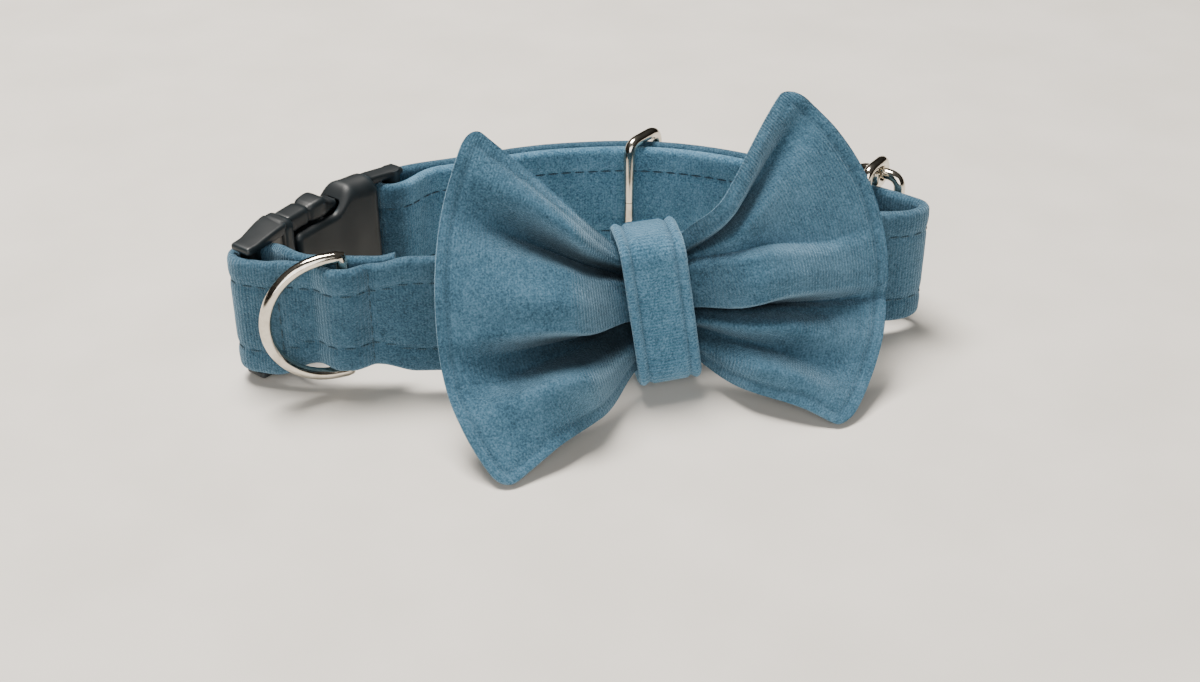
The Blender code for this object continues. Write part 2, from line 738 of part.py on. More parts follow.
def build_knot(material):
    """A band that goes round the waist of the bow and the strap behind it."""
    middle, yaw = bow_middle()
    station = station_near(route_walk(), "place", BOW_ROUTE_ROW)
    strap_back = station["point"].y + STRAP_THICKNESS / 2.0 + CLEARANCE
    strap_top = centre_height(station["point"]) + HALF_STRAP
    strap_bottom = strap_top - STRAP_HEIGHT
    half = KNOT_THICKNESS / 2.0
    room = CLEARANCE + half
    waist_half = WAIST_HEIGHT / 2.0
    front = WAIST_PLEAT + BOW_THICKNESS / 2.0 * 1.4 + room
    lean_y = math.sin(BOW_TURN) * waist_half
    centre = middle.z - WAIST_DROP
    top = centre + math.cos(BOW_TURN) * waist_half + BOW_THICKNESS * 0.2
    bottom = centre - math.cos(BOW_TURN) * waist_half - BOW_THICKNESS * 0.2
    foot = min(bottom, strap_bottom) - room
    corners = [
        Vector((middle.y + lean_y - front, top + room)),
        Vector((middle.y - lean_y - front, foot)),
        Vector((strap_back + half, foot)),
        Vector((strap_back + half, strap_top + room)),
        Vector((strap_back + half - STRAP_THICKNESS, top + room)),
    ]
    outline = rounded_corners(corners, (KNOT_TOP_BEND, KNOT_FOOT_BEND, *[KNOT_BACK_BEND] * 3), steps=3)
    width = KNOT_WIDTH / 2.0
    edge = half * 0.5
    bm = bmesh.new()
    rings = []
    section = ((-width, half - edge), (-width + edge, half), (width - edge, half), (width, half - edge),
               (width, edge - half), (width - edge, -half), (edge - width, -half), (-width, edge - half))
    count = len(outline)
    for index, point in enumerate(outline):
        ahead, behind = outline[(index + 1) % count], outline[index - 1]
        tangent = (ahead - behind).normalized()
        side = Vector((tangent.y, -tangent.x))
        ring = []
        for across, thick in section:
            place = point + side * thick
            shift = knot_shift((place.y - foot) / (top - foot))
            x = middle.x + (across + shift) * math.cos(yaw)
            y = place.x + (across + shift) * math.sin(yaw)
            ring.append(bm.verts.new((x, y, place.y)))
        rings.append(ring)
    bridge_rings(bm, rings + rings[:1])
    return mesh_object("knot_band", bm, material)


def centre_on_footprint(frame, items):
    """Moves the frame so that the origin is the middle of the footprint."""
    bpy.context.view_layer.update()
    graph = bpy.context.evaluated_depsgraph_get()
    corners = []
    for item in items:
        solid = item.evaluated_get(graph)
        mesh = solid.to_mesh()
        corners += [solid.matrix_world @ vertex.co for vertex in mesh.vertices]
        solid.to_mesh_clear()
    for axis in (0, 1):
        low = min(corner[axis] for corner in corners)
        high = max(corner[axis] for corner in corners)
        frame.location[axis] = -(low + high) / 2.0
    frame.location.z = -min(corner.z for corner in corners)


def main():
    clear_scene()
    velvet = make_material("dusty_blue_velvet", (0.085, 0.235, 0.330), 0.85)
    nickel = make_material("polished_nickel", (0.72, 0.68, 0.62), 0.16, metallic=1.0)
    acetal = make_material("black_acetal", (0.014, 0.015, 0.017), 0.42)
    frame = bpy.data.objects.new("collar_frame", None)
    bpy.context.collection.objects.link(frame)
    items = [
        build_strap(velvet),
        build_d_ring(nickel, frame),
        build_keeper(nickel, frame),
        build_slide(nickel, frame),
        build_buckle_male(acetal),
        build_buckle_female(acetal),
        build_bow(velvet),
        build_knot(velvet),
    ]
    for item in bpy.data.objects:
        if item is not frame and item.parent is None:
            item.parent = frame
    centre_on_footprint(frame, items)


main()
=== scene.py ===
"""Dressed model of a velvet pet collar with a bow tie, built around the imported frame.

The collar stands on its edge: a velvet covered strap, a gathered bow with its knot band, nickel
plated wire fittings and a black side release buckle. Metres, +Z up, the bow faces -Y.
"""

import logging
import math
from dataclasses import dataclass, field
from enum import Enum
from typing import Callable, Sequence

import bmesh
import bpy
from mathutils import Matrix, Vector, noise
from mathutils.kdtree import KDTree


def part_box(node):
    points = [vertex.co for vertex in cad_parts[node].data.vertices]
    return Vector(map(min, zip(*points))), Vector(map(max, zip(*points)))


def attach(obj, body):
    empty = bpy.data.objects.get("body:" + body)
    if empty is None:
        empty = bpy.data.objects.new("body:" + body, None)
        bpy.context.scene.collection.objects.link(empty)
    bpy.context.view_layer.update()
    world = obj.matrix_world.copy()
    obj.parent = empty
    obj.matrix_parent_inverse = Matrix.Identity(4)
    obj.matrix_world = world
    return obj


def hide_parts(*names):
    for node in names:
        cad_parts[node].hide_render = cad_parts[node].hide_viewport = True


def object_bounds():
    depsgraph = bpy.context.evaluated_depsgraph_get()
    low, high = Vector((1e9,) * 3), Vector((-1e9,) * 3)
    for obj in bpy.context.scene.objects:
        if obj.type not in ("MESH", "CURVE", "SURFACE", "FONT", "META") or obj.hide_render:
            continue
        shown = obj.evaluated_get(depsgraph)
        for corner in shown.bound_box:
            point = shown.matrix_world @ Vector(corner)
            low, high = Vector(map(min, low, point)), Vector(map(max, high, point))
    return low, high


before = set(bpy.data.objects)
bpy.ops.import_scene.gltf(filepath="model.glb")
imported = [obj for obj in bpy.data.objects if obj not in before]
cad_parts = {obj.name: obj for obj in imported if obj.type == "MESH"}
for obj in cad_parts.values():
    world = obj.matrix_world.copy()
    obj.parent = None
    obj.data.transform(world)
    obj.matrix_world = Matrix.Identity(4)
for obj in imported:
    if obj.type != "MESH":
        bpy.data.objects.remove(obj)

CAD_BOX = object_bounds()
MM = 0.001
WELD = 1.0e-6
WAVE_PERIOD = 0.3
QUARTER = math.pi / 2.0
LOG = logging.getLogger("collar")

Place = Callable[[float, float], Vector]
UP = Vector((0.0, 0.0, 1.0))


class Body(Enum):
    """The two bodies of the collar that pieces ride on."""

    COLLAR = "collar"
    RING = "leash_ring"


class Slot(Enum):
    """The record's material slots."""

    VELVET = "velvet"
    NICKEL = "nickel_wire"
    ACETAL = "acetal"


class Half(Enum):
    """The two halves of the side release buckle."""

    MALE = "buckle_male"
    FEMALE = "buckle_female"


def smooth(value: float) -> float:
    """Eases a share from 0 to 1 with level ends."""
    value = min(1.0, max(0.0, value))
    return value * value * (3.0 - 2.0 * value)


def blend(low: float, high: float, share: float) -> float:
    """Straight line between two values."""
    return low + (high - low) * share


def bump(distance: float, width: float) -> float:
    """A rounded hill of height 1 at distance 0 that is gone at two or three widths."""
    return math.exp(-((distance / width) ** 2))


def linear(colour: str) -> tuple[float, float, float, float]:
    """Turns an sRGB hex colour into linear light.

    Args:
        colour: Six hex digits after a hash mark.

    Returns:
        Red, green, blue and an alpha of 1.
    """
    shares = [int(colour[start:start + 2], 16) / 255.0 for start in (1, 3, 5)]
    light = [s / 12.92 if s <= 0.04045 else ((s + 0.055) / 1.055) ** 2.4 for s in shares]
    return (*light, 1.0)


def add_node(tree: bpy.types.NodeTree, kind: str, settings: dict | None = None,
             links: dict | None = None) -> bpy.types.Node:
    """Adds a shader node.

    Args:
        tree: The material's node tree.
        kind: The node's type name.
        settings: Values by the node's own property name or by socket name or number.
        links: Output sockets by the input's name or number.

    Returns:
        The new node.
    """
    node = tree.nodes.new(kind)
    for key, value in (settings or {}).items():
        if isinstance(key, str) and hasattr(node, key):
            setattr(node, key, value)
        else:
            node.inputs[key].default_value = value
    for key, source in (links or {}).items():
        tree.links.new(source, node.inputs[key])
    return node


def colour_ramp(tree: bpy.types.NodeTree, source: bpy.types.NodeSocket,
                stops: tuple[tuple[float, str], ...]) -> bpy.types.NodeSocket:
    """Turns a value into colours.

    Args:
        tree: The material's node tree.
        source: The value.
        stops: Position and hex colour of each stop.

    Returns:
        The colour socket.
    """
    ramp = add_node(tree, "ShaderNodeValToRGB", links={"Fac": source})
    elements = ramp.color_ramp.elements
    while len(elements) < len(stops):
        elements.new(1.0)
    for element, (position, colour) in zip(elements, stops):
        element.position = position
        element.color = linear(colour)
    return ramp.outputs["Color"]


def new_material(name: str, **sockets: object) -> tuple[bpy.types.Material, bpy.types.Node]:
    """Starts a material.

    Args:
        name: The material's name.
        **sockets: Values for the shader's sockets, with _ for a blank in the name.

    Returns:
        The material and its Principled shader.
    """
    material = bpy.data.materials.new(name)
    material.use_nodes = True
    shader = material.node_tree.nodes["Principled BSDF"]
    for key, value in sockets.items():
        shader.inputs[key.replace("_", " ")].default_value = value
    return material, shader


def millimetres(tree: bpy.types.NodeTree,
                turn: tuple[float, float, float] = (0.0, 0.0, 0.0)) -> bpy.types.NodeSocket:
    """Counts Object coordinates in millimetres, so that a pattern's scale is 1 over its size.

    Args:
        tree: The material's node tree.
        turn: How far the pattern is turned about each axis.

    Returns:
        The coordinates.
    """
    place = add_node(tree, "ShaderNodeTexCoord")
    scaled = add_node(tree, "ShaderNodeMapping", {"Scale": (1.0 / MM,) * 3, "Rotation": turn},
                      {"Vector": place.outputs["Object"]})
    return scaled.outputs[0]


@dataclass(frozen=True)
class BrushedVelvet:
    """Short pile cotton velvet, cut and brushed: matt, with a pale bloom at grazing angles and
    a speckle where tufts lean apart. Real tufts and ribs are finer than the render can show, so
    both are drawn coarser.
    """

    name: str = "brushed_velvet"
    deep: str = "#213f51"
    mid: str = "#375a6f"
    pale: str = "#4f7289"
    bloom: str = "#a2c1d6"
    stops: tuple[float, float, float] = (0.37, 0.49, 0.62)
    tuft_mm: float = 0.36
    streak_mm: float = 1.0
    patch_mm: float = 7.0
    rib_mm: float = 0.62
    tuft_share: float = 0.62
    streak_share: float = 0.18
    patch_share: float = 0.20
    rib_share: float = 0.075
    pile_mm: float = 0.5
    sheen: float = 0.75
    # Painted shade: the share of the sheen and of the colour that is left where fold is 1.
    painted_shade_sheen: float = 0.075
    painted_shade: float = 0.14

    def material(self) -> bpy.types.Material:
        """Makes the velvet, with its tufts on Object coordinates and its ribs on the cloth's UV map.
        It reads two attributes: fold, painted shade in the bow's valleys, beside its knot and along the
        seams, where the sheen is taken away too, and painted_lighting, painted light where it is above 0
        and painted shade where it is below.

        Returns:
            The material.
        """
        material, shader = new_material(
            self.name, Roughness=0.92, Sheen_Roughness=0.45,
            Sheen_Tint=linear(self.bloom), Specular_IOR_Level=0.18)
        tree = material.node_tree
        in_mm = millimetres(tree)
        tufts = add_node(tree, "ShaderNodeTexNoise",
                         {"Scale": 1.0 / self.tuft_mm, "Detail": 3.0, "Roughness": 0.62},
                         {"Vector": in_mm})
        streaks = add_node(tree, "ShaderNodeTexNoise",
                           {"Scale": 1.0 / self.streak_mm, "Detail": 2.0, "Distortion": 0.6},
                           {"Vector": in_mm})
        patches = add_node(tree, "ShaderNodeTexNoise", {"Scale": 1.0 / self.patch_mm, "Detail": 2.0},
                           {"Vector": in_mm})
        pile = add_node(tree, "ShaderNodeMath", {"operation": "MULTIPLY", 1: self.patch_share},
                        {0: patches.outputs[0]})
        for pattern, share in ((tufts, self.tuft_share), (streaks, self.streak_share)):
            pile = add_node(tree, "ShaderNodeMath", {"operation": "MULTIPLY_ADD", 1: share},
                            {0: pattern.outputs[0], 2: pile.outputs[0]})
        colour = colour_ramp(tree, pile.outputs[0],
                             tuple(zip(self.stops, (self.deep, self.mid, self.pale))))
        # Painted shade from fold, and painted light and shade from painted_lighting, scale the colour.
        fold = add_node(tree, "ShaderNodeAttribute", {"attribute_name": "fold"})
        painted_lighting = add_node(tree, "ShaderNodeAttribute", {"attribute_name": "painted_lighting"})
        shade = add_node(tree, "ShaderNodeMapRange", {"To Min": 1.0, "To Max": self.painted_shade},
                         {"Value": fold.outputs["Fac"]})
        lit = add_node(tree, "ShaderNodeMath", {"operation": "ADD", 1: 1.0}, {0: painted_lighting.outputs["Fac"]})
        gain = add_node(tree, "ShaderNodeMath", {"operation": "MULTIPLY"},
                        {0: shade.outputs[0], 1: lit.outputs[0]})
        brushed = add_node(tree, "ShaderNodeVectorMath", {"operation": "SCALE"},
                           {0: colour, "Scale": gain.outputs[0]})
        tree.links.new(brushed.outputs[0], shader.inputs["Base Color"])
        # The sheen is taken away under the painted shade.
        bloom = add_node(tree, "ShaderNodeMapRange", {"To Min": self.sheen, "To Max": self.painted_shade_sheen},
                         {"Value": fold.outputs["Fac"]})
        tree.links.new(bloom.outputs[0], shader.inputs["Sheen Weight"])
        cloth = add_node(tree, "ShaderNodeUVMap", {"uv_map": "cloth"})
        across = add_node(tree, "ShaderNodeSeparateXYZ", links={0: cloth.outputs[0]})
        turn = add_node(tree, "ShaderNodeMath",
                        {"operation": "MULTIPLY", 1: math.tau / (self.rib_mm * MM)},
                        {0: across.outputs["X"]})
        rib = add_node(tree, "ShaderNodeMath", {"operation": "SINE"}, {0: turn.outputs[0]})
        height = add_node(tree, "ShaderNodeMath", {"operation": "MULTIPLY_ADD", 1: self.rib_share},
                          {0: rib.outputs[0], 2: pile.outputs[0]})
        relief = add_node(tree, "ShaderNodeBump", {"Strength": 1.0, "Distance": self.pile_mm * MM},
                          {"Height": height.outputs[0]})
        tree.links.new(relief.outputs[0], shader.inputs["Normal"])
        return material


@dataclass(frozen=True)
class PolyesterThread:
    """Twisted polyester sewing thread, glossier than the pile around it and darker: partly its own colour,
    partly painted shade from the pile that stands round the sunk stitches. Its twist is finer than the
    render can show, and is drawn coarser.
    """

    name: str = "polyester_thread"
    # Both tones hold painted shade from the pile round the sunk stitches.
    dark: str = "#16303d"
    light: str = "#2c4f60"
    twist_mm: float = 0.35
    slant: tuple[float, float, float] = (0.4, 0.3, 0.6)

    def material(self) -> bpy.types.Material:
        """Makes the thread with its twist as diagonal bands.

        Returns:
            The material.
        """
        material, shader = new_material(self.name, Roughness=0.62, Sheen_Weight=0.15,
                                        Specular_IOR_Level=0.3)
        tree = material.node_tree
        in_mm = millimetres(tree, self.slant)
        twist = add_node(tree, "ShaderNodeTexWave",
                         {"Scale": WAVE_PERIOD / self.twist_mm, "Distortion": 1.0},
                         {"Vector": in_mm})
        colour = colour_ramp(tree, twist.outputs[1], ((0.2, self.dark), (0.8, self.light)))
        tree.links.new(colour, shader.inputs["Base Color"])
        relief = add_node(tree, "ShaderNodeBump", {"Strength": 0.4, "Distance": 0.05 * MM},
                          {"Height": twist.outputs[1]})
        tree.links.new(relief.outputs[0], shader.inputs["Normal"])
        return material


@dataclass(frozen=True)
class PlatedWire:
    """Bright nickel plate over drawn steel wire: a warm mirror with a faint grain and a few
    duller spots where hands have been.
    """

    name: str = "nickel_plated_wire"
    metal: str = "#d9d2c5"
    worn: str = "#b9b0a2"
    spot_mm: float = 3.0
    grain_mm: float = 0.25

    def material(self) -> bpy.types.Material:
        """Makes the plated metal.

        Returns:
            The material.
        """
        material, shader = new_material(self.name, Metallic=1.0, Roughness=0.13)
        tree = material.node_tree
        in_mm = millimetres(tree)
        spots = add_node(tree, "ShaderNodeTexNoise", {"Scale": 1.0 / self.spot_mm, "Detail": 4.0},
                         {"Vector": in_mm})
        grain = add_node(tree, "ShaderNodeTexNoise", {"Scale": 1.0 / self.grain_mm, "Detail": 2.0},
                         {"Vector": in_mm})
        colour = colour_ramp(tree, spots.outputs[0], ((0.30, self.worn), (0.52, self.metal)))
        tree.links.new(colour, shader.inputs["Base Color"])
        dull = add_node(tree, "ShaderNodeMapRange",
                        {"From Min": 0.35, "From Max": 0.7, "To Min": 0.09, "To Max": 0.20},
                        {"Value": spots.outputs[0]})
        tree.links.new(dull.outputs[0], shader.inputs["Roughness"])
        relief = add_node(tree, "ShaderNodeBump", {"Strength": 0.12, "Distance": 0.02 * MM},
                          {"Height": grain.outputs[0]})
        tree.links.new(relief.outputs[0], shader.inputs["Normal"])
        return material


@dataclass(frozen=True)
class MouldedAcetal:
    """Injection moulded black acetal: satin, with a fine spark eroded grain and paler edges, partly rubbed
    wear and partly a painted highlight. Both tones carry a blue cast that is a painted reflection of the
    velvet strap.
    The grain is drawn coarser than the real one, so that it shows.
    """

    name: str = "moulded_black_acetal"
    # The blue cast of both tones is a painted reflection of the velvet strap.
    black: str = "#11181c"
    rubbed_and_highlit: str = "#263238"
    grain_mm: float = 0.12
    flow_mm: float = 9.0

    def material(self) -> bpy.types.Material:
        """Makes the plastic.

        Returns:
            The material.
        """
        material, shader = new_material(self.name, Roughness=0.38, IOR=1.48)
        tree = material.node_tree
        in_mm = millimetres(tree)
        flow = add_node(tree, "ShaderNodeTexNoise", {"Scale": 1.0 / self.flow_mm, "Detail": 3.0},
                        {"Vector": in_mm})
        grain = add_node(tree, "ShaderNodeTexNoise", {"Scale": 1.0 / self.grain_mm, "Detail": 2.0},
                         {"Vector": in_mm})
        shape = add_node(tree, "ShaderNodeNewGeometry")
        # Paler at sharp edges: partly rubbed wear, partly a painted highlight along the edges.
        edge = add_node(tree, "ShaderNodeMapRange",
                        {"From Min": 0.52, "From Max": 0.62, "To Min": 0.0, "To Max": 1.0},
                        {"Value": shape.outputs["Pointiness"]})
        colour = colour_ramp(tree, edge.outputs[0], ((0.0, self.black), (1.0, self.rubbed_and_highlit)))
        tree.links.new(colour, shader.inputs["Base Color"])
        satin = add_node(tree, "ShaderNodeMapRange",
                         {"From Min": 0.3, "From Max": 0.7, "To Min": 0.38, "To Max": 0.54},
                         {"Value": flow.outputs[0]})
        tree.links.new(satin.outputs[0], shader.inputs["Roughness"])
        relief = add_node(tree, "ShaderNodeBump", {"Strength": 0.22, "Distance": 0.03 * MM},
                          {"Height": grain.outputs[0]})
        tree.links.new(relief.outputs[0], shader.inputs["Normal"])
        return material


@dataclass(frozen=True)
class PaperFloor:
    """Pale matt paper under the collar."""

    name: str = "pale_paper"
    tone: str = "#dedad3"
    shade: str = "#d7d3cb"
    mottle_mm: float = 30.0

    def material(self) -> bpy.types.Material:
        """Makes the floor's surface.

        Returns:
            The material.
        """
        material, shader = new_material(self.name, Roughness=0.85)
        tree = material.node_tree
        in_mm = millimetres(tree)
        mottle = add_node(tree, "ShaderNodeTexNoise", {"Scale": 1.0 / self.mottle_mm, "Detail": 3.0},
                          {"Vector": in_mm})
        colour = colour_ramp(tree, mottle.outputs[0], ((0.35, self.shade), (0.65, self.tone)))
        tree.links.new(colour, shader.inputs["Base Color"])
        return material


@dataclass(frozen=True)
class Finishes:
    """Every finish of the collar, made once."""

    velvet: bpy.types.Material
    thread: bpy.types.Material
    nickel: bpy.types.Material
    acetal: bpy.types.Material

    @classmethod
    def make(cls) -> "Finishes":
        """Makes the materials."""
        return cls(BrushedVelvet().material(), PolyesterThread().material(),
                   PlatedWire().material(), MouldedAcetal().material())


def lay_grid(along: int, around: int, place: Place, length: float, girth: float,
             capped: bool = False) -> bmesh.types.BMesh:
    """Lays a grid of squares over a surface and welds the edges that meet.

    Args:
        along: Squares along the surface.
        around: Squares across or around it.
        place: Gives the point for two shares from 0 to 1.
        length: Real length along, for the UV map in metres.
        girth: Real length across or around, for the UV map.
        capped: Whether open ends are closed with a flat face.

    Returns:
        The mesh, with its UV map named cloth.
    """
    bm = bmesh.new()
    layer = bm.loops.layers.uv.new("cloth")
    bmesh.ops.create_grid(bm, x_segments=along, y_segments=around, size=0.5, calc_uvs=True)
    for vert in bm.verts:
        vert.co = place(vert.co.x + 0.5, vert.co.y + 0.5)
    for face in bm.faces:
        for loop in face.loops:
            u, v = loop[layer].uv
            loop[layer].uv = (u * length, v * girth)
    bmesh.ops.remove_doubles(bm, verts=bm.verts, dist=WELD)
    if capped:
        bmesh.ops.holes_fill(bm, edges=[edge for edge in bm.edges if edge.is_boundary], sides=0)
    bmesh.ops.recalc_face_normals(bm, faces=bm.faces)
    return bm


def band_section(share: float, half_width: float, half_thick: float, face: int,
                 edge: int) -> tuple[float, float]:
    """Point on the section of a band of cloth with rounded edges.

    Args:
        share: 0 to 1 round the section, from the low end of the face on the positive side.
        half_width: Half the band's width.
        half_thick: Half its thickness.
        face: Squares across each face.
        edge: Squares round each edge.

    Returns:
        The place across the thickness, and the place across the width.
    """
    index = share * 2 * (face + edge)
    flat = half_width - half_thick
    sign = 1.0
    if index > face + edge:
        index -= face + edge
        sign = -1.0
    if index <= face:
        return sign * half_thick, sign * blend(-flat, flat, index / face)
    angle = math.pi * (index - face) / edge
    return sign * half_thick * math.cos(angle), sign * (flat + half_thick * math.sin(angle))


def round_corners(corners: list[Vector], bends: Sequence[float], closed: bool = True,
                  steps: int = 8) -> list[Vector]:
    """Turns each corner of an outline into a smooth bend.

    Args:
        corners: The outline's corners.
        bends: How far from each corner its bend starts.
        closed: Whether the outline is closed; an open one keeps its two ends.
        steps: Straight pieces in a bend.

    Returns:
        The points in order.
    """
    outline = []
    for index, (corner, bend) in enumerate(zip(corners, bends)):
        if not closed and index in (0, len(corners) - 1):
            outline.append(corner)
            continue
        before = (corners[index - 1] - corner).normalized() * bend
        after = (corners[(index + 1) % len(corners)] - corner).normalized() * bend
        for step in range(steps + 1):
            share = step / steps
            outline.append(corner + before * (1.0 - share) ** 2 + after * share ** 2)
    return outline


def make_object(bm: bmesh.types.BMesh, name: str, material: bpy.types.Material,
                sharp: float = 40.0) -> bpy.types.Object:
    """Turns a bmesh into a smooth shaded object at the origin.

    Args:
        bm: The mesh, which is freed.
        name: The object's name.
        material: Its finish.
        sharp: Edges that turn by more degrees than this stay sharp.

    Returns:
        The object.
    """
    mesh = bpy.data.meshes.new(name)
    bm.to_mesh(mesh)
    bm.free()
    mesh.materials.append(material)
    mesh.shade_smooth()
    mesh.set_sharp_from_angle(angle=math.radians(sharp))
    item = bpy.data.objects.new(name, mesh)
    bpy.context.scene.collection.objects.link(item)
    return item


def brush(item: bpy.types.Object, name: str, value: Callable[[float, float], float],
          length: float = 1.0, girth: float = 1.0) -> None:
    """Writes an attribute that the velvet reads, from shares along and across the cloth.

    Args:
        item: The cloth, with its UV map named cloth.
        name: The attribute: fold for painted shade in valleys and seams, or painted_lighting for painted
            light and shade over a whole piece.
        value: Gives the attribute for two shares from 0 to 1.
        length: Real length along, as in the UV map.
        girth: Real length across or around.
    """
    mesh = item.data
    values = [0.0] * len(mesh.vertices)
    layer = mesh.uv_layers["cloth"].data
    for loop in mesh.loops:
        u, v = layer[loop.index].uv
        values[loop.vertex_index] = value(u / length, v / girth)
    attribute = mesh.attributes.new(name, "FLOAT", "POINT")
    attribute.data.foreach_set("value", values)


def settle(item: bpy.types.Object) -> bpy.types.Object:
    """Applies an object's modifiers to its mesh.

    Args:
        item: The object.

    Returns:
        The same object.
    """
    graph = bpy.context.evaluated_depsgraph_get()
    mesh = bpy.data.meshes.new_from_object(item.evaluated_get(graph))
    item.modifiers.clear()
    item.data = mesh
    return item


def mount(item: bpy.types.Object, body: Body, slot: Slot, *nodes: str) -> bpy.types.Object:
    """Gives a piece its body, hides the nodes of the CAD model that it stands for, and reports it.

    Args:
        item: The finished piece.
        body: The body that it rides on.
        slot: The record's slot of its material. Not used.
        *nodes: Nodes of the CAD model that it replaces.

    Returns:
        The same piece.
    """
    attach(item, body.value)
    if nodes:
        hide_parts(*nodes)
    LOG.info("%s: %d faces, rides on %s", item.name, len(item.data.polygons), body.value)
    return item


@dataclass(frozen=True)
class Station:
    """A place on the strap's middle line in plan."""

    point: Vector
    tangent: Vector
    distance: float

    @property
    def inward(self) -> Vector:
        """The side that faces the neck."""
        return Vector((-self.tangent.y, self.tangent.x))


@dataclass
class CollarPlan:
    """The strap's middle line in plan and the heights along it. The rows of the route give x as a
    share of half the loop's length and y as a share of its depth, from the buckle's left bar along
    the front, round the right end and back along the rear.
    """

    strap_height: float = 25.4 * MM
    strap_thickness: float = 2.4 * MM
    loop_length: float = 141.0 * MM
    loop_depth: float = 52.5 * MM
    front_rise: float = 2.1 * MM
    rise_left: tuple[float, float] = (-0.90, 0.13)
    rise_right: tuple[float, float] = (0.95, 0.35)
    rise_rear: tuple[float, float] = (-0.10, 0.30)
    layer_gap: float = 0.4 * MM
    clearance: float = 0.3 * MM
    edge_clearance: float = 0.4 * MM
    wire: float = 2.4 * MM
    buckle_width: float = 31.2 * MM
    buckle_bar: float = 3.8 * MM
    ring_place: float = 19.2 * MM
    ring_straight: float = 3.0 * MM
    ring_inner_height: float = 22.8 * MM
    near_step: float = 0.1 * MM
    bow_row: float = 6.036
    slide_row: int = 13
    keeper_row: int = 17
    route: tuple[tuple[float, float], ...] = (
        (-0.943, -0.390), (-0.840, -0.450), (-0.681, -0.505), (-0.450, -0.560), (-0.255, -0.579),
        (-0.043, -0.574), (0.170, -0.549), (0.383, -0.506), (0.596, -0.484), (0.800, -0.462),
        (0.925, -0.446), (0.977, -0.395), (0.945, -0.325), (0.862, -0.217), (0.780, -0.110),
        (0.640, 0.060), (0.455, 0.232), (0.260, 0.337), (0.060, 0.372), (-0.110, 0.366),
        (-0.300, 0.318), (-0.440, 0.288), (-0.532, 0.248),
    )
    shift: Vector = field(default_factory=lambda: Vector((0.0, 0.0)))

    @property
    def half_strap(self) -> float:
        """Half the strap's height."""
        return self.strap_height / 2.0

    @property
    def layer_pitch(self) -> float:
        """From the middle of one layer to the middle of the next."""
        return self.strap_thickness + self.layer_gap

    @property
    def wrap_radius(self) -> float:
        """From a buckle bar's axis to the middle of the strap round it."""
        return self.buckle_bar / 2.0 + self.clearance + self.strap_thickness / 2.0

    @property
    def rest_height(self) -> float:
        """Height of the buckle's middle above the surface."""
        return self.buckle_width / 2.0

    @property
    def wire_loop_half(self) -> float:
        """Half the height of a wire loop round the strap, at the wire's middle."""
        return self.half_strap + self.edge_clearance + self.wire / 2.0

    def points(self) -> list[Vector]:
        """The route's rows as points."""
        return [Vector((x * self.loop_length / 2.0, y * self.loop_depth)) + self.shift
                for x, y in self.route]

    def at(self, place: float) -> Vector:
        """Point on the smooth curve through the rows.

        Args:
            place: The row, so that 2.5 lies halfway from row 2 to row 3.

        Returns:
            The point in plan.
        """
        points = self.points()
        row = min(int(place), len(points) - 2)
        share = place - row
        a, b = points[row], points[row + 1]
        before = points[row - 1] if row > 0 else a * 2.0 - b
        after = points[row + 2] if row + 2 < len(points) else b * 2.0 - a
        return 0.5 * (2.0 * a + (b - before) * share
                      + (2.0 * before - 5.0 * a + 4.0 * b - after) * share ** 2
                      + (3.0 * a - before - 3.0 * b + after) * share ** 3)

    def walk(self, step: float) -> list[Station]:
        """Evenly spaced stations along the whole route.

        Args:
            step: The spacing wanted.

        Returns:
            The stations in order.
        """
        fine = 40
        line = [self.at(index / fine) for index in range(fine * (len(self.route) - 1) + 1)]
        distances = [0.0]
        for start, end in zip(line, line[1:]):
            distances.append(distances[-1] + (end - start).length)
        count = round(distances[-1] / step)
        stations, row = [], 0
        for index in range(count + 1):
            wanted = distances[-1] * index / count
            while row < len(line) - 2 and distances[row + 1] < wanted:
                row += 1
            share = (wanted - distances[row]) / (distances[row + 1] - distances[row])
            tangent = (line[min(row + 3, len(line) - 1)] - line[max(row - 2, 0)]).normalized()
            stations.append(Station(line[row].lerp(line[row + 1], share), tangent, wanted))
        return stations

    def station_at(self, place: float) -> Station:
        """The station nearest to a place on the route."""
        point = self.at(place)
        return min(self.walk(self.near_step), key=lambda station: (station.point - point).length)

    def station_after(self, distance: float) -> Station:
        """The station nearest to a distance along the route."""
        return min(self.walk(self.near_step), key=lambda station: abs(station.distance - distance))

    def centre_height(self, point: Vector) -> float:
        """Height of the strap's middle: the bow holds the front a little above the rear. Each side
        of the rise has the share of the loop where it starts and the share over which it grows.

        Args:
            point: A point of the strap in plan.

        Returns:
            The height.
        """
        x = (point.x - self.shift.x) / (self.loop_length / 2.0)
        y = (point.y - self.shift.y) / self.loop_depth
        from_left = smooth((x - self.rise_left[0]) / self.rise_left[1])
        from_right = smooth((self.rise_right[0] - x) / self.rise_right[1])
        from_rear = smooth((self.rise_rear[0] - y) / self.rise_rear[1])
        return self.rest_height + self.front_rise * from_left * from_right * from_rear

    def frame_at(self, station: Station, inset: float = 0.0) -> tuple[Vector, Vector, Vector]:
        """The strap's own directions at a station.

        Args:
            station: The station.
            inset: How far the place is moved towards the neck.

        Returns:
            The place on the strap's middle, the direction along it and the direction out of the loop.
        """
        point = station.point + station.inward * inset
        out = -station.inward
        return (Vector((point.x, point.y, self.centre_height(station.point))),
                Vector((*station.tangent, 0.0)), Vector((out.x, out.y, 0.0)))


@dataclass(frozen=True)
class Strip:
    """One station of the folded strip: plan point, side, half height, centre height and distance."""

    point: Vector
    side: Vector
    half: float
    centre: float
    distance: float


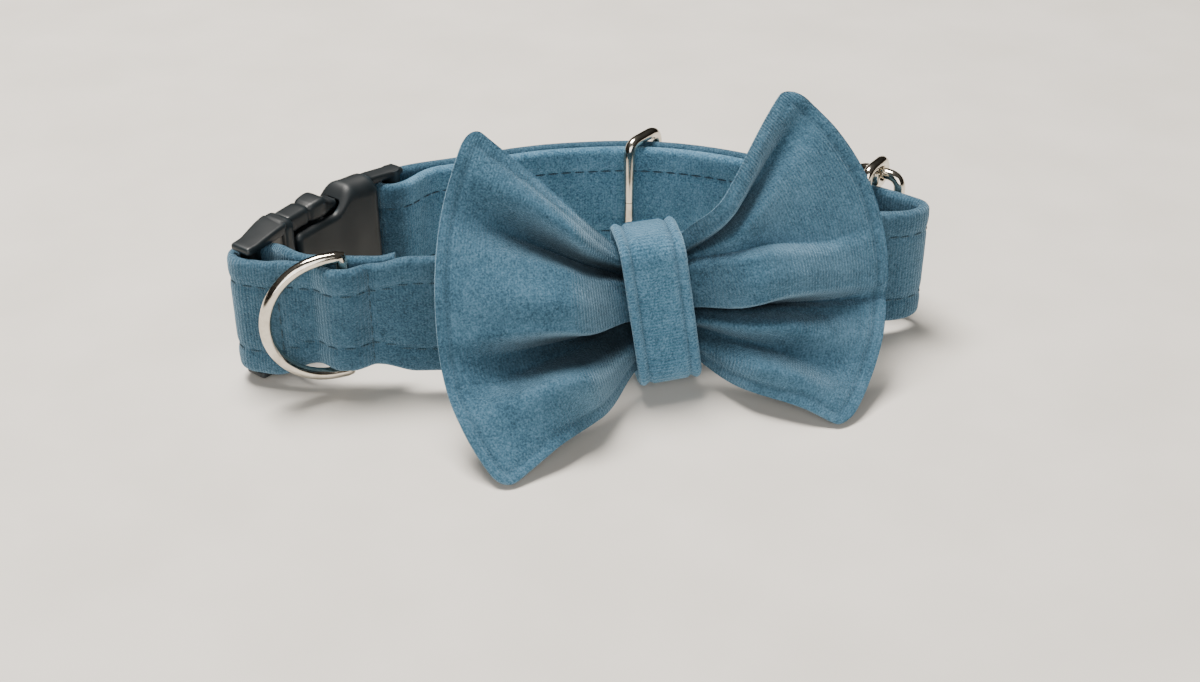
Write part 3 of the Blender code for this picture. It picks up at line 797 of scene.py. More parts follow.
@dataclass
class VelvetStrap:
    """The velvet covered strip, folded round both buckle bars, with its rows of topstitching."""

    plan: CollarPlan
    step: float = 0.75 * MM
    flap_length: float = 30.0 * MM
    back_end_short: float = 10.0 * MM
    stitch_inset: float = 5.4 * MM
    stitch_pitch: float = 2.9 * MM
    stitch_length: float = 2.3 * MM
    thread: float = 0.34 * MM
    thread_proud: float = 0.12
    tack_margin: float = 2.0 * MM
    bar_tacks: tuple[float, ...] = (6.8 * MM, 25.6 * MM)
    tack_share: float = 0.9
    groove_depth: float = 0.34 * MM
    groove_width: float = 0.8 * MM
    between_holes: float = 0.72
    roll_offset: float = 2.4 * MM
    roll_width: float = 1.3 * MM
    roll_share: float = 0.25
    squeeze_lead: float = 3.2 * MM
    squeeze_run: float = 7.0 * MM
    squeeze_share: float = 0.6
    hump_flat: float = 1.0 * MM
    hump_run: float = 4.6 * MM
    flap_flat: float = 2.0 * MM
    flap_run: float = 9.5 * MM
    rear_run: float = 12.0 * MM
    softness: float = 0.07 * MM
    wave_along: float = 9.0 * MM
    wave_up: float = 8.0 * MM
    face_seed: float = 900.0
    edge_wave: float = 11.0 * MM
    edge_wander: float = 0.004
    # Painted shade over the strap and painted light on the rear's inner layer, with the run between them.
    front_painted_lighting: float = -0.17
    rear_painted_lighting: float = 0.9
    painted_lighting_run: float = 0.01
    face_squares: int = 40
    edge_squares: int = 6

    @property
    def rear_end(self) -> float:
        """Distance along the route at which the rear's inner layer ends."""
        return self.plan.station_at(self.plan.slide_row).distance + self.back_end_short

    def squeeze(self, distance: float) -> float:
        """Half height of the strap, drawn in where it passes through the D-ring.

        Args:
            distance: Distance along the route.

        Returns:
            The half height.
        """
        plan = self.plan
        away = abs(distance - plan.ring_place) - (plan.ring_straight + self.squeeze_lead)
        narrow = plan.ring_inner_height / 2.0 - plan.edge_clearance * self.squeeze_share
        return blend(narrow, plan.half_strap, smooth(away / self.squeeze_run))

    def ring_hump(self, distance: float) -> float:
        """How far the front layer stands out over the D-ring's bar.

        Args:
            distance: Distance along the route.

        Returns:
            The height of the hump.
        """
        plan = self.plan
        height = (plan.strap_thickness + plan.clearance + plan.wire) / 2.0
        away = abs(distance - plan.ring_place) - self.hump_flat
        return height * smooth(1.0 - away / self.hump_run)

    def line(self) -> list[tuple[Vector, float, float]]:
        """The folded strip's middle line in order: plan point, half height and centre height.

        Returns:
            Each point with its half height and its centre height.
        """
        plan = self.plan
        stations = plan.walk(self.step)
        fold = 2.0 * plan.wrap_radius - plan.layer_pitch
        line: list[tuple[Vector, float, float]] = []

        def add(point: Vector, half: float = plan.half_strap) -> None:
            """Adds a point of the line."""
            line.append((point, half, plan.centre_height(point)))

        def wrap(station: Station, sign: int) -> None:
            """Half turn round a buckle bar, from the inner to the outer side for sign 1.

            Args:
                station: The end station beside the bar.
                sign: 1 for the first bar and -1 for the last one.
            """
            centre = station.point + station.inward * plan.wrap_radius
            turns = round(math.pi * plan.wrap_radius / self.step)
            for turn in range(turns + 1):
                angle = math.pi * turn / turns
                swing = station.inward * math.cos(angle) - station.tangent * math.sin(angle)
                add(centre + swing * sign * plan.wrap_radius)

        flap = [s for s in stations if self.step * 0.5 < s.distance < self.flap_length]
        for station in reversed(flap):
            spread = fold * smooth(1.0 - (station.distance - self.flap_flat) / self.flap_run)
            add(station.point + station.inward * (plan.layer_pitch + spread),
                self.squeeze(station.distance))
        wrap(stations[0], 1)
        for station in stations[1:-1]:
            add(station.point - station.inward * self.ring_hump(station.distance),
                self.squeeze(station.distance))
        wrap(stations[-1], -1)
        last = self.rear_end
        for station in reversed(stations[1:-1]):
            if station.distance >= last:
                away = stations[-1].distance - station.distance
                spread = fold * smooth(1.0 - away / self.rear_run)
                add(station.point + station.inward * (plan.layer_pitch + spread))
        return line

    def strips(self) -> list[Strip]:
        """The line with its sides and distances.

        Returns:
            The strips in order.
        """
        line = self.line()
        strips, distance = [], 0.0
        for index, (point, half, centre) in enumerate(line):
            ahead = line[min(index + 1, len(line) - 1)][0]
            behind = line[max(index - 1, 0)][0]
            if index:
                distance += (point - line[index - 1][0]).length
            tangent = (ahead - behind).normalized()
            strips.append(Strip(point, Vector((-tangent.y, tangent.x)), half, centre, distance))
        return strips

    def groove(self, up: float, half: float, distance: float) -> float:
        """How far the topstitching pulls the face in, deeper at each needle hole.

        Args:
            up: Height above the strap's middle.
            half: Half the strap's height there.
            distance: Distance along the strip.

        Returns:
            The depth, below zero where the cloth rolls up beside the groove.
        """
        line = half - self.stitch_inset
        hole = abs(math.cos(math.pi * distance / self.stitch_pitch))
        pull = bump(abs(up) - line, self.groove_width) * blend(self.between_holes, 1.0, hole)
        roll = bump(abs(up) - (line + self.roll_offset), self.roll_width) * self.roll_share
        return self.groove_depth * (pull - roll)

    def tack_groove(self, start: float, distance: float) -> float:
        """How far the rows sewn across the strap pull its face in."""
        return sum(self.groove_depth * self.tack_share * bump(distance - start - tack, self.groove_width)
                   for tack in self.bar_tacks)

    def build(self, finishes: Finishes) -> None:
        """Builds the strap and its stitches.

        Args:
            finishes: The collar's materials.
        """
        plan = self.plan
        strips = self.strips()
        count = len(strips) - 1
        front_start = self.front_start(strips)
        half_thick = plan.strap_thickness / 2.0

        def place(u: float, v: float) -> Vector:
            """Point on the strap's surface.

            Args:
                u: Share along the piece.
                v: Share across or round it.

            Returns:
                The point.
            """
            strip = strips[round(u * count)]
            across, up = band_section(v % 1.0, strip.half, half_thick, self.face_squares,
                                      self.edge_squares)
            pull = self.groove(up, strip.half, strip.distance)
            pull += self.tack_groove(front_start, strip.distance)
            soft = noise.noise(Vector((strip.distance / self.wave_along, up / self.wave_up,
                                       across * self.face_seed)))
            thick = half_thick - pull * abs(across) / half_thick - self.softness * (1.0 - soft)
            wander = 1.0 + noise.noise(Vector((strip.distance / self.edge_wave, 3.0, 0.0)))
            point = strip.point + strip.side * (across / half_thick * thick)
            return Vector((point.x, point.y, strip.centre + up * (1.0 - self.edge_wander * wander)))

        around = 2 * (self.face_squares + self.edge_squares)
        length = strips[-1].distance
        girth = 2.0 * (plan.strap_height + plan.strap_thickness)
        strap = make_object(lay_grid(count, around, place, length, girth, capped=True),
                            "velvet_strap", finishes.velvet)
        rear = 1.0 - (plan.walk(self.step)[-1].distance - self.rear_end) / length

        def painted_lighting(u: float, v: float) -> float:
            """Painted light on the rear's inner layer, and a little painted shade over the rest of the
            strap.
            """
            return blend(self.front_painted_lighting, self.rear_painted_lighting, smooth((u - rear) / self.painted_lighting_run))

        # Painted light on the rear's inner layer and painted shade over the rest of the strap.
        brush(strap, "painted_lighting", painted_lighting, length, girth)
        mount(strap, Body.COLLAR, Slot.VELVET, "strap")
        stitches = make_object(self.stitches(strips, front_start), "strap_stitches", finishes.thread)
        mount(stitches, Body.COLLAR, Slot.VELVET)

    def front_start(self, strips: list[Strip]) -> float:
        """Distance along the strip at which its front begins, after the first bar.

        Args:
            strips: The strip's stations.

        Returns:
            The distance.
        """
        start = self.plan.points()[0]
        reach = self.flap_length + self.plan.loop_length
        front = [strip for strip in strips if self.flap_length < strip.distance < reach]
        return min(front, key=lambda strip: (strip.point - start).length).distance

    def stitches(self, strips: list[Strip], front_start: float) -> bmesh.types.BMesh:
        """Every thread that shows on both faces, as one mesh.

        Args:
            strips: The strip's stations.
            front_start: Distance along the strip at which its front begins.

        Returns:
            The mesh.
        """
        ball = bmesh.new()
        bmesh.ops.create_uvsphere(ball, u_segments=8, v_segments=6, radius=1.0)
        template = bpy.data.meshes.new("stitch")
        ball.to_mesh(template)
        ball.free()
        bm = bmesh.new()
        sunk = self.plan.strap_thickness / 2.0 - self.groove_depth + self.thread * self.thread_proud
        for index in range(1, int(strips[-1].distance / self.stitch_pitch)):
            strip = min(strips, key=lambda s: abs(s.distance - index * self.stitch_pitch))
            along = Vector((strip.side.y, -strip.side.x, 0.0))
            for face in (-1.0, 1.0):
                for row in (-1.0, 1.0):
                    up = row * (strip.half - self.stitch_inset)
                    self.add_stitch(bm, template, strip, face * sunk, up, along)
        rows = int((self.plan.strap_height - 2.0 * self.tack_margin) / self.stitch_pitch)
        for tack in self.bar_tacks:
            strip = min(strips, key=lambda s: abs(s.distance - front_start - tack))
            for row in range(rows):
                up = (row - (rows - 1) / 2.0) * self.stitch_pitch
                self.add_stitch(bm, template, strip, -sunk, up, UP)
        bpy.data.meshes.remove(template)
        return bm

    def add_stitch(self, bm: bmesh.types.BMesh, template: bpy.types.Mesh, strip: Strip, across: float,
                   up: float, along: Vector) -> None:
        """Adds one stitch: a short thread, thickest in its middle, that dives in at both ends.

        Args:
            bm: The mesh of all the stitches.
            template: A ball of radius 1.
            strip: The station at the stitch.
            across: Place across the strap's thickness.
            up: Height above the strap's middle.
            along: Direction of the thread.
        """
        point = strip.point + strip.side * across
        side = Vector((*strip.side, 0.0))
        third = along.cross(side)
        axes = Matrix((along * self.stitch_length / 2.0, side * self.thread / 2.0,
                       third * self.thread / 2.0)).transposed()
        matrix = Matrix.Translation((point.x, point.y, strip.centre + up)) @ axes.to_4x4()
        stitch = template.copy()
        stitch.transform(matrix)
        bm.from_mesh(stitch)
        bpy.data.meshes.remove(stitch)


@dataclass
class WireFitting:
    """Round wire bent along a path. Each fitting of the collar makes its path and calls sweep."""

    plan: CollarPlan
    sides: int = 20
    end_share: float = 0.82

    def sweep(self, path: list[Vector], radius: float, closed: bool) -> bmesh.types.BMesh:
        """Sweeps a circle along the path.

        Args:
            path: The wire's middle line.
            radius: The wire's radius.
            closed: Whether the last point joins the first.

        Returns:
            The mesh, with rounded ends if it is open.
        """
        count = len(path)
        tangents = []
        for index in range(count):
            ahead = path[(index + 1) % count] if closed else path[min(index + 1, count - 1)]
            behind = path[index - 1] if closed else path[max(index - 1, 0)]
            tangents.append((ahead - behind).normalized())
        side = tangents[0].orthogonal().normalized()
        frames = []
        for point, tangent in zip(path, tangents):
            side = (side - tangent * side.dot(tangent)).normalized()
            frames.append((point, side, tangent.cross(side)))
        last = count if closed else count - 1
        slip = 0.0
        if closed:
            point, side, other = frames[0]
            end = frames[-1][1]
            slip = math.atan2(end.dot(other), end.dot(side))

        def place(u: float, v: float) -> Vector:
            """Point on the wire.

            Args:
                u: Share along the piece.
                v: Share across or round it.

            Returns:
                The point.
            """
            row = round(u * last)
            point, side, other = frames[row % count]
            angle = math.tau * v - (slip * row / last if closed else 0.0)
            ring = radius
            if closed and row == last:
                angle = math.tau * v
            if not closed and row in (0, last):
                ring = radius * self.end_share
            return point + (side * math.cos(angle) + other * math.sin(angle)) * ring

        length = sum((b - a).length for a, b in zip(path, path[1:]))
        return lay_grid(last, self.sides, place, length, math.tau * radius, capped=not closed)

    @staticmethod
    def over_node(path: list[Vector], node: str) -> list[Vector]:
        """Moves a path in plan so that the middle of its box lies on the middle of a node's box.

        Args:
            path: The wire's middle line.
            node: The node of the CAD model.

        Returns:
            The moved path.
        """
        low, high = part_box(node)
        offset = Vector((0.0, 0.0, 0.0))
        for axis in (0, 1):
            own = (min(point[axis] for point in path) + max(point[axis] for point in path)) / 2.0
            offset[axis] = (low[axis] + high[axis]) / 2.0 - own
        return [point + offset for point in path]


@dataclass
class LeashRing(WireFitting):
    """The D-ring, whose bar lies between the two layers of the strap's front."""

    rest_angle: float = math.radians(23.0)
    corner: float = 1.0 * MM
    corner_shares: tuple[float, ...] = (0.3, 0.8, 1.4)
    bar_steps: int = 12
    arc_steps: int = 48

    def build(self, finishes: Finishes) -> None:
        """Builds the ring on its hinge axis.

        Args:
            finishes: The collar's materials.
        """
        plan = self.plan
        place, along, out = plan.frame_at(plan.station_after(plan.ring_place))
        reach = (-along * math.cos(self.rest_angle) + out * math.sin(self.rest_angle)).normalized()
        radius = (plan.ring_inner_height + plan.wire) / 2.0
        bar = [UP * radius * (1.0 - (2.0 * step + 1.0) / self.bar_steps) for step in range(self.bar_steps)]
        arc = []
        for step in range(self.arc_steps + 1):
            angle = math.pi * step / self.arc_steps
            arc.append(UP * -math.cos(angle) * radius
                       + reach * (plan.ring_straight + math.sin(angle) * radius))
        low = [UP * -radius + reach * self.corner * share for share in self.corner_shares]
        high = [UP * radius + reach * self.corner * share for share in reversed(self.corner_shares)]
        path = self.over_node([place + point for point in bar + low + arc + high], "d_ring")
        ring = make_object(self.sweep(path, plan.wire / 2.0, closed=True), "leash_ring_wire",
                           finishes.nickel)
        mount(ring, Body.RING, Slot.NICKEL, "d_ring")


@dataclass
class KeeperLoop(WireFitting):
    """The rectangular wire loop round both rear layers, with its two ends butted on the inner side."""

    slant: float = math.radians(33.0)
    bend: float = 2.9 * MM
    joint_gap: float = 0.14 * MM
    joint_rise: float = 0.05

    def build(self, finishes: Finishes) -> None:
        """Builds the keeper.

        Args:
            finishes: The collar's materials.
        """
        plan = self.plan
        place, along, out = plan.frame_at(plan.station_at(plan.keeper_row), plan.layer_pitch / 2.0)
        across = plan.layer_pitch / 2.0 + plan.strap_thickness / 2.0 + plan.clearance + plan.wire / 2.0
        skew = (out * math.cos(self.slant) - along * math.sin(self.slant)) / math.cos(self.slant)
        up = UP * plan.wire_loop_half
        inner = skew * -across
        gap = UP * self.joint_gap / 2.0
        joint = up * self.joint_rise
        corners = [inner + joint + gap, inner + up, -inner + up, -inner - up, inner - up,
                   inner + joint - gap]
        outline = round_corners(corners, [self.bend] * len(corners), closed=False)
        path = self.over_node([place + point for point in outline], "keeper_loop")
        keeper = make_object(self.sweep(path, plan.wire / 2.0, closed=False), "keeper_wire",
                             finishes.nickel)
        mount(keeper, Body.COLLAR, Slot.NICKEL, "keeper_loop")


@dataclass
class WireSlide(WireFitting):
    """The slide: a rectangular frame outside the strap and a bar inside it, curled over the frame."""

    length: float = 12.0 * MM
    stand_off: float = 0.6 * MM
    bend: float = 2.7 * MM
    bar_share: float = 0.92
    curl_share: float = 0.97
    curl_turn: float = math.radians(24.0)
    curl_steps: int = 13
    foot_share: float = 1.02

    def build(self, finishes: Finishes) -> None:
        """Builds the frame and the middle bar.

        Args:
            finishes: The collar's materials.
        """
        plan = self.plan
        place, along, out = plan.frame_at(plan.station_at(plan.slide_row))
        depth = plan.strap_thickness / 2.0 + plan.clearance + plan.wire / 2.0
        bow_out = depth + self.stand_off
        reach = along * (self.length - plan.wire) / 2.0
        up = UP * plan.wire_loop_half
        corners = [out * bow_out + reach + up, out * bow_out - reach + up,
                   out * bow_out - reach - up, out * bow_out + reach - up]
        path = [place + point for point in round_corners(corners, [self.bend] * len(corners))]
        radius = plan.wire / 2.0
        loop = make_object(self.sweep(path, radius, closed=True), "slide_frame", finishes.nickel)
        mount(loop, Body.COLLAR, Slot.NICKEL, "tri_glide")
        inside = -out * depth
        top = out * bow_out + up
        curl_radius = plan.wire * self.curl_share
        curl = []
        for step in range(self.curl_steps):
            angle = QUARTER - self.curl_turn * step
            curl.append(top + (out * math.cos(angle) + UP * math.sin(angle)) * curl_radius)
        shoulder = inside + up + UP * curl_radius
        foot = out * bow_out * self.foot_share - up
        line = round_corners([curl[0], shoulder, inside - up, foot], [plan.wire] * 4, closed=False)
        bar_path = [place + point for point in curl[:0:-1] + line]
        bar = make_object(self.sweep(bar_path, radius * self.bar_share, closed=False), "slide_bar",
                          finishes.nickel)
        mount(bar, Body.COLLAR, Slot.NICKEL)


@dataclass
class Buckle:
    """The fastened side release buckle. Its own axes are u from the left bar to the right bar,
    n out of the loop and z up from its middle.
    """

    plan: CollarPlan
    thickness: float = 7.6 * MM
    sag: float = 2.5 * MM
    wall: float = 1.4 * MM
    male_base: float = 3.6 * MM
    slot_margin: float = 2.6 * MM
    window_length: float = 10.9 * MM
    window_half: float = 11.2 * MM
    shoulder: float = 5.5 * MM
    arm_length: float = 13.7 * MM
    arm_low: float = 11.5 * MM
    arm_high: float = 15.3 * MM
    arm_half: float = 2.4 * MM
    arm_corner: float = 1.1 * MM
    tip_thinner: float = 0.1 * MM
    seam_place: float = 5.4 * MM
    seam_width: float = 0.5 * MM
    seam_depth: float = 0.3 * MM
    grip_place: float = 8.6 * MM
    grip_width: float = 2.6 * MM
    grip_swell: float = 0.4 * MM
    tip_start: float = 4.6 * MM
    tip_run: float = 3.6 * MM
    tip_high: float = 13.8 * MM
    tongue_length: float = 14.5 * MM
    tongue_width: float = 7.0 * MM
    corner: float = 1.3 * MM
    soft_corner: float = 3.5 * MM
    base_inset: float = 0.3 * MM
    base_growth: float = 0.5 * MM
    inner_corner: float = 0.8 * MM
    rail_corner: float = 0.7 * MM
    male_rail_reach: tuple[float, float] = (2.7 * MM, 1.5 * MM)
    male_rail_half: tuple[float, float] = (2.5 * MM, 3.3 * MM)
    male_rail_drop: tuple[float, float] = (0.9 * MM, 0.1 * MM)
    female_rail_reach: tuple[float, float] = (2.0 * MM, 2.2 * MM)
    female_rail_half: tuple[float, float] = (1.9 * MM, 1.9 * MM)
    female_rail_drop: tuple[float, float] = (0.5 * MM, 0.9 * MM)
    bar_inset: float = 1.0 * MM
    hollow_side: float = 2.4 * MM
    hollow_back: float = 3.5 * MM
    lap: float = 1.0 * MM
    fine_step: float = 0.45 * MM
    shell_step: float = 0.5 * MM

    def __post_init__(self) -> None:
        """Works out the buckle's axes from the strap's two ends."""
        stations = self.plan.walk(self.fine_step)
        first, last = stations[0], stations[-1]
        self.start = first.point + first.inward * self.plan.wrap_radius
        end = last.point + last.inward * self.plan.wrap_radius
        self.span = (end - self.start).length
        self.u_axis = (end - self.start).normalized()
        self.n_axis = Vector((-self.u_axis.y, self.u_axis.x))
        self.half = self.plan.buckle_width / 2.0
        wrapped = self.plan.wrap_radius + self.plan.strap_thickness / 2.0
        self.base_start = wrapped + self.slot_margin
        self.base_end = self.base_start + self.male_base
        self.mouth = self.base_end + self.plan.clearance
        self.back = self.span - wrapped - self.slot_margin / 2.0

    def world(self, u: float, n: float, z: float) -> Vector:
        """Point of the buckle, which is bowed a little to follow the neck.

        Args:
            u: Distance from the left bar to the right bar.
            n: Distance out of the loop.
            z: Height above the buckle's middle.

        Returns:
            The point.
        """
        share = min(1.0, max(0.0, u / self.span))
        bow = self.sag * (1.0 - (2.0 * share - 1.0) ** 2)
        point = self.start + self.u_axis * u + self.n_axis * (n + bow)
        return Vector((point.x, point.y, self.plan.rest_height + z))

    def block(self, name: str, u_range: tuple[float, float],
              shape: Callable[[float], tuple[float, float, float, float]], corner: float,
              material: bpy.types.Material, growth: Callable[[float], float] = lambda u: 0.0,
              step: float = 0.9 * MM) -> bpy.types.Object:
        """A rounded block swept along u.

        Args:
            name: The object's name.
            u_range: Where it starts and ends.
            shape: Gives the low and high n and the low and high z for a u.
            corner: Radius of its long edges, and of the edges at its two ends.
            material: Its finish.
            growth: How much larger the long edges' radius is at a u.
            step: Spacing of the rows along it.

        Returns:
            The block.
        """
        low, high = u_range
        ends = 4
        middle = max(2, round((high - low) / step))
        rows = middle + 2 * ends
        corner_steps = 5
        around = 4 * corner_steps + 4

        def place(u_share: float, v_share: float) -> Vector:
            """Point on the block.

            Args:
                u_share: Share along the block.
                v_share: Share round the block.

            Returns:
                The point.
            """
            row = round(u_share * rows)
            inset, u = 0.0, low
            if row < ends:
                angle = QUARTER * row / ends
                inset, u = corner * (1.0 - math.sin(angle)), low + corner * (1.0 - math.cos(angle))
            elif row > rows - ends:
                angle = QUARTER * (rows - row) / ends
                inset, u = corner * (1.0 - math.sin(angle)), high - corner * (1.0 - math.cos(angle))
            else:
                u = blend(low + corner, high - corner, (row - ends) / middle)
            n_low, n_high, z_low, z_high = shape(u)
            index = round(v_share * around) % around
            quarter, turn = divmod(index, corner_steps + 1)
            angle = QUARTER * (quarter + turn / corner_steps)
            radius = corner + growth(u)
            n_centre = n_high - radius if quarter in (0, 3) else n_low + radius
            z_centre = z_high - radius if quarter in (0, 1) else z_low + radius
            n = n_centre + (radius - inset) * math.cos(angle)
            z = z_centre + (radius - inset) * math.sin(angle)
            return self.world(u, n, z)

        return make_object(lay_grid(rows, around, place, high - low, self.half, capped=True), name,
                           material, 50.0)

    def bar(self, name: str, u: float, material: bpy.types.Material) -> bpy.types.Object:
        """The round bar that the strap is folded over.

        Args:
            name: The object's name.
            u: Place of the bar along the buckle.
            material: Its finish.

        Returns:
            The bar.
        """
        bm = bmesh.new()
        centre = self.world(u, 0.0, 0.0)
        radius = self.plan.buckle_bar / 2.0
        bmesh.ops.create_cone(bm, cap_ends=True, segments=24, radius1=radius, radius2=radius,
                              depth=self.plan.buckle_width - 2.0 * self.bar_inset,
                              matrix=Matrix.Translation(centre))
        return make_object(bm, name, material)

    @staticmethod
    def combine(base: bpy.types.Object, others: list[bpy.types.Object], operation: str) -> None:
        """Welds or cuts a body with others, which are then removed.

        Args:
            base: The body.
            others: The blocks that are added or taken away.
            operation: UNION or DIFFERENCE.
        """
        for other in others:
            step = base.modifiers.new(other.name, "BOOLEAN")
            step.operation = operation
            step.solver = "EXACT"
            step.object = other
            settle(base)
            bpy.data.objects.remove(other)

    def rails(self, name: str, u_range: tuple[float, float], half_n: tuple[float, float],
              drop: tuple[float, float], material: bpy.types.Material) -> list[bpy.types.Object]:
        """The two rails that carry a bar, above and below the strap.

        Args:
            name: Start of the objects' names.
            u_range: Where the rails start and end.
            half_n: Half their thickness at the start and at the end.
            drop: How far their outer side is lower than the buckle's at the start and at the end.
            material: Their finish.

        Returns:
            The rails.
        """
        inner = self.plan.half_strap + self.plan.edge_clearance
        rails = []
        for sign in (-1.0, 1.0):
            def rail(u: float, sign: float = sign) -> tuple[float, float, float, float]:
                """Section of a rail.

                Args:
                    u: Place along the buckle.
                    sign: -1 for the lower one and 1 for the upper one.

                Returns:
                    The low and high n and the low and high z.
                """
                share = smooth((u - u_range[0]) / (u_range[1] - u_range[0]))
                reach = blend(*half_n, share)
                edges = sorted((sign * inner, sign * (self.half - blend(*drop, share))))
                return (-reach, reach, edges[0], edges[1])
            rails.append(self.block(f"{name}_{sign:.0f}", u_range, rail,
                                    self.rail_corner, material))
        return rails

    def build_male(self, finishes: Finishes) -> None:
        """Builds the bar, rails, base, the two spring arms and the tongue.

        Args:
            finishes: The collar's materials.
        """
        material = finishes.acetal
        thick = self.thickness / 2.0
        base = thick - self.base_inset
        body = self.block(Half.MALE.value + "_body", (self.base_start, self.base_end),
                          lambda u: (-base, base, -self.half, self.half), self.corner, material,
                          lambda u: self.base_growth, self.fine_step)
        inner = thick - self.wall - self.plan.clearance
        extras = [self.bar("male_bar", 0.0, material)]
        before, into = self.male_rail_reach
        extras += self.rails("male_rail", (-before, self.base_start + into), self.male_rail_half,
                             self.male_rail_drop, material)
        tip = self.base_end + self.arm_length
        for sign in (-1.0, 1.0):
            def arm(u: float, sign: float = sign) -> tuple[float, float, float, float]:
                """Section of a spring arm: a seam, a thumb grip that swells and a tip that dives in.

                Args:
                    u: Place along the buckle.
                    sign: -1 for the lower one and 1 for the upper one.

                Returns:
                    The low and high n and the low and high z.
                """
                seam = self.seam_depth * bump(u - (self.base_end + self.seam_place), self.seam_width)
                swell = self.grip_swell * bump(u - (self.base_end + self.grip_place), self.grip_width)
                dive = smooth((u - (tip - self.tip_start)) / self.tip_run)
                reach = blend(self.arm_half, inner - self.tip_thinner, dive) + (swell - seam) * (1.0 - dive)
                high = blend(self.arm_high + swell - seam, self.tip_high, dive)
                edges = sorted((sign * self.arm_low, sign * high))
                return (-reach, reach, edges[0], edges[1])
            extras.append(self.block(f"male_arm_{sign:.0f}", (self.base_end - self.lap, tip), arm,
                                     self.arm_corner, material, step=self.fine_step))
        tongue = self.tongue_width / 2.0
        extras.append(self.block("male_tongue",
                                 (self.base_end - self.lap, self.base_end + self.tongue_length),
                                 lambda u: (-inner, inner, -tongue, tongue), self.inner_corner, material))
        self.combine(body, extras, "UNION")
        self.dress(body, Half.MALE)

    def build_female(self, finishes: Finishes) -> None:
        """Builds the hollow housing, narrow beside the thumb windows and full behind its curved
        shoulders, with its rails and its bar.

        Args:
            finishes: The collar's materials.
        """
        material = finishes.acetal
        thick = self.thickness / 2.0
        shoulder = self.mouth + self.window_length

        def housing(u: float) -> tuple[float, float, float, float]:
            """Section of the housing."""
            half = blend(self.window_half, self.half, smooth((u - shoulder) / self.shoulder))
            return (-thick, thick, -half, half)

        def growth(u: float) -> float:
            """The long edges grow rounder towards the bar."""
            return (self.soft_corner - self.corner) * smooth((u - shoulder) / (self.shoulder * 1.5))

        body = self.block(Half.FEMALE.value + "_body", (self.mouth, self.back), housing, self.corner,
                          material, growth, self.shell_step)
        hollow = thick - self.wall
        depth = self.half - self.hollow_side
        cut = self.block("housing_hollow", (self.mouth - 3.0 * self.lap, self.back - self.hollow_back),
                         lambda u: (-hollow, hollow, -depth, depth), self.inner_corner, material)
        self.combine(body, [cut], "DIFFERENCE")
        extras = [self.bar("female_bar", self.span, material)]
        into, beyond = self.female_rail_reach
        extras += self.rails("female_rail", (self.back - into, self.span + beyond),
                             self.female_rail_half, self.female_rail_drop, material)
        self.combine(body, extras, "UNION")
        self.dress(body, Half.FEMALE)

    @staticmethod
    def dress(body: bpy.types.Object, half: Half) -> None:
        """Names the finished half and mounts it on the collar."""
        body.name = half.value + "_moulding"
        mount(body, Body.COLLAR, Slot.ACETAL, half.value)


@dataclass(frozen=True)
class Fold:
    """One ridge or valley of a wing: its place across at the knot and at the outer edge, from -1 at
    the bottom edge to 1 at the top edge, and its height at the waist, in the belly and at the edge.
    """

    knot: float
    outer: float
    waist: float
    belly: float
    edge: float


LEFT_FOLDS = tuple(Fold(*row) for row in (
    (-1.00, -1.00, 0.00, 0.00, 0.00), (-0.60, -0.58, 0.70, 0.90, 0.30),
    (-0.27, -0.36, -0.60, -0.70, -0.25),
    (-0.20, -0.22, -0.90, -0.90, -0.25), (-0.12, -0.04, 0.80, 0.80, 0.15), (0.15, 0.18, 0.90, 1.00, 0.35),
    (0.46, 0.42, 0.80, 0.70, 0.15), (0.54, 0.60, -0.55, -0.70, -0.15), (0.80, 0.84, 0.70, 0.80, 0.45),
    (1.00, 1.00, 0.00, 0.10, 0.10),
))
RIGHT_FOLDS = tuple(Fold(*row) for row in (
    (-1.00, -1.00, 0.00, 0.00, 0.00), (-0.72, -0.86, 0.60, 0.50, 0.10),
    (-0.47, -0.69, -0.70, -0.35, 0.00),
    (-0.30, -0.45, 0.70, 0.35, 0.10), (-0.18, -0.27, -0.50, -0.35, -0.10),
    (-0.13, -0.20, -0.90, -0.90, -0.35),
    (-0.06, -0.10, 0.80, 0.80, 0.25), (0.25, 0.00, 1.00, 1.00, 0.40), (0.52, 0.12, 0.80, 0.90, 0.40),
    (0.59, 0.22, -0.20, 0.25, 0.30), (0.63, 0.72, -0.30, 0.40, 0.40), (0.68, 0.86, -0.45, -0.45, 0.10),
    (0.82, 0.94, 0.50, 0.40, 0.30), (1.00, 1.00, 0.00, 0.20, 0.10),
))


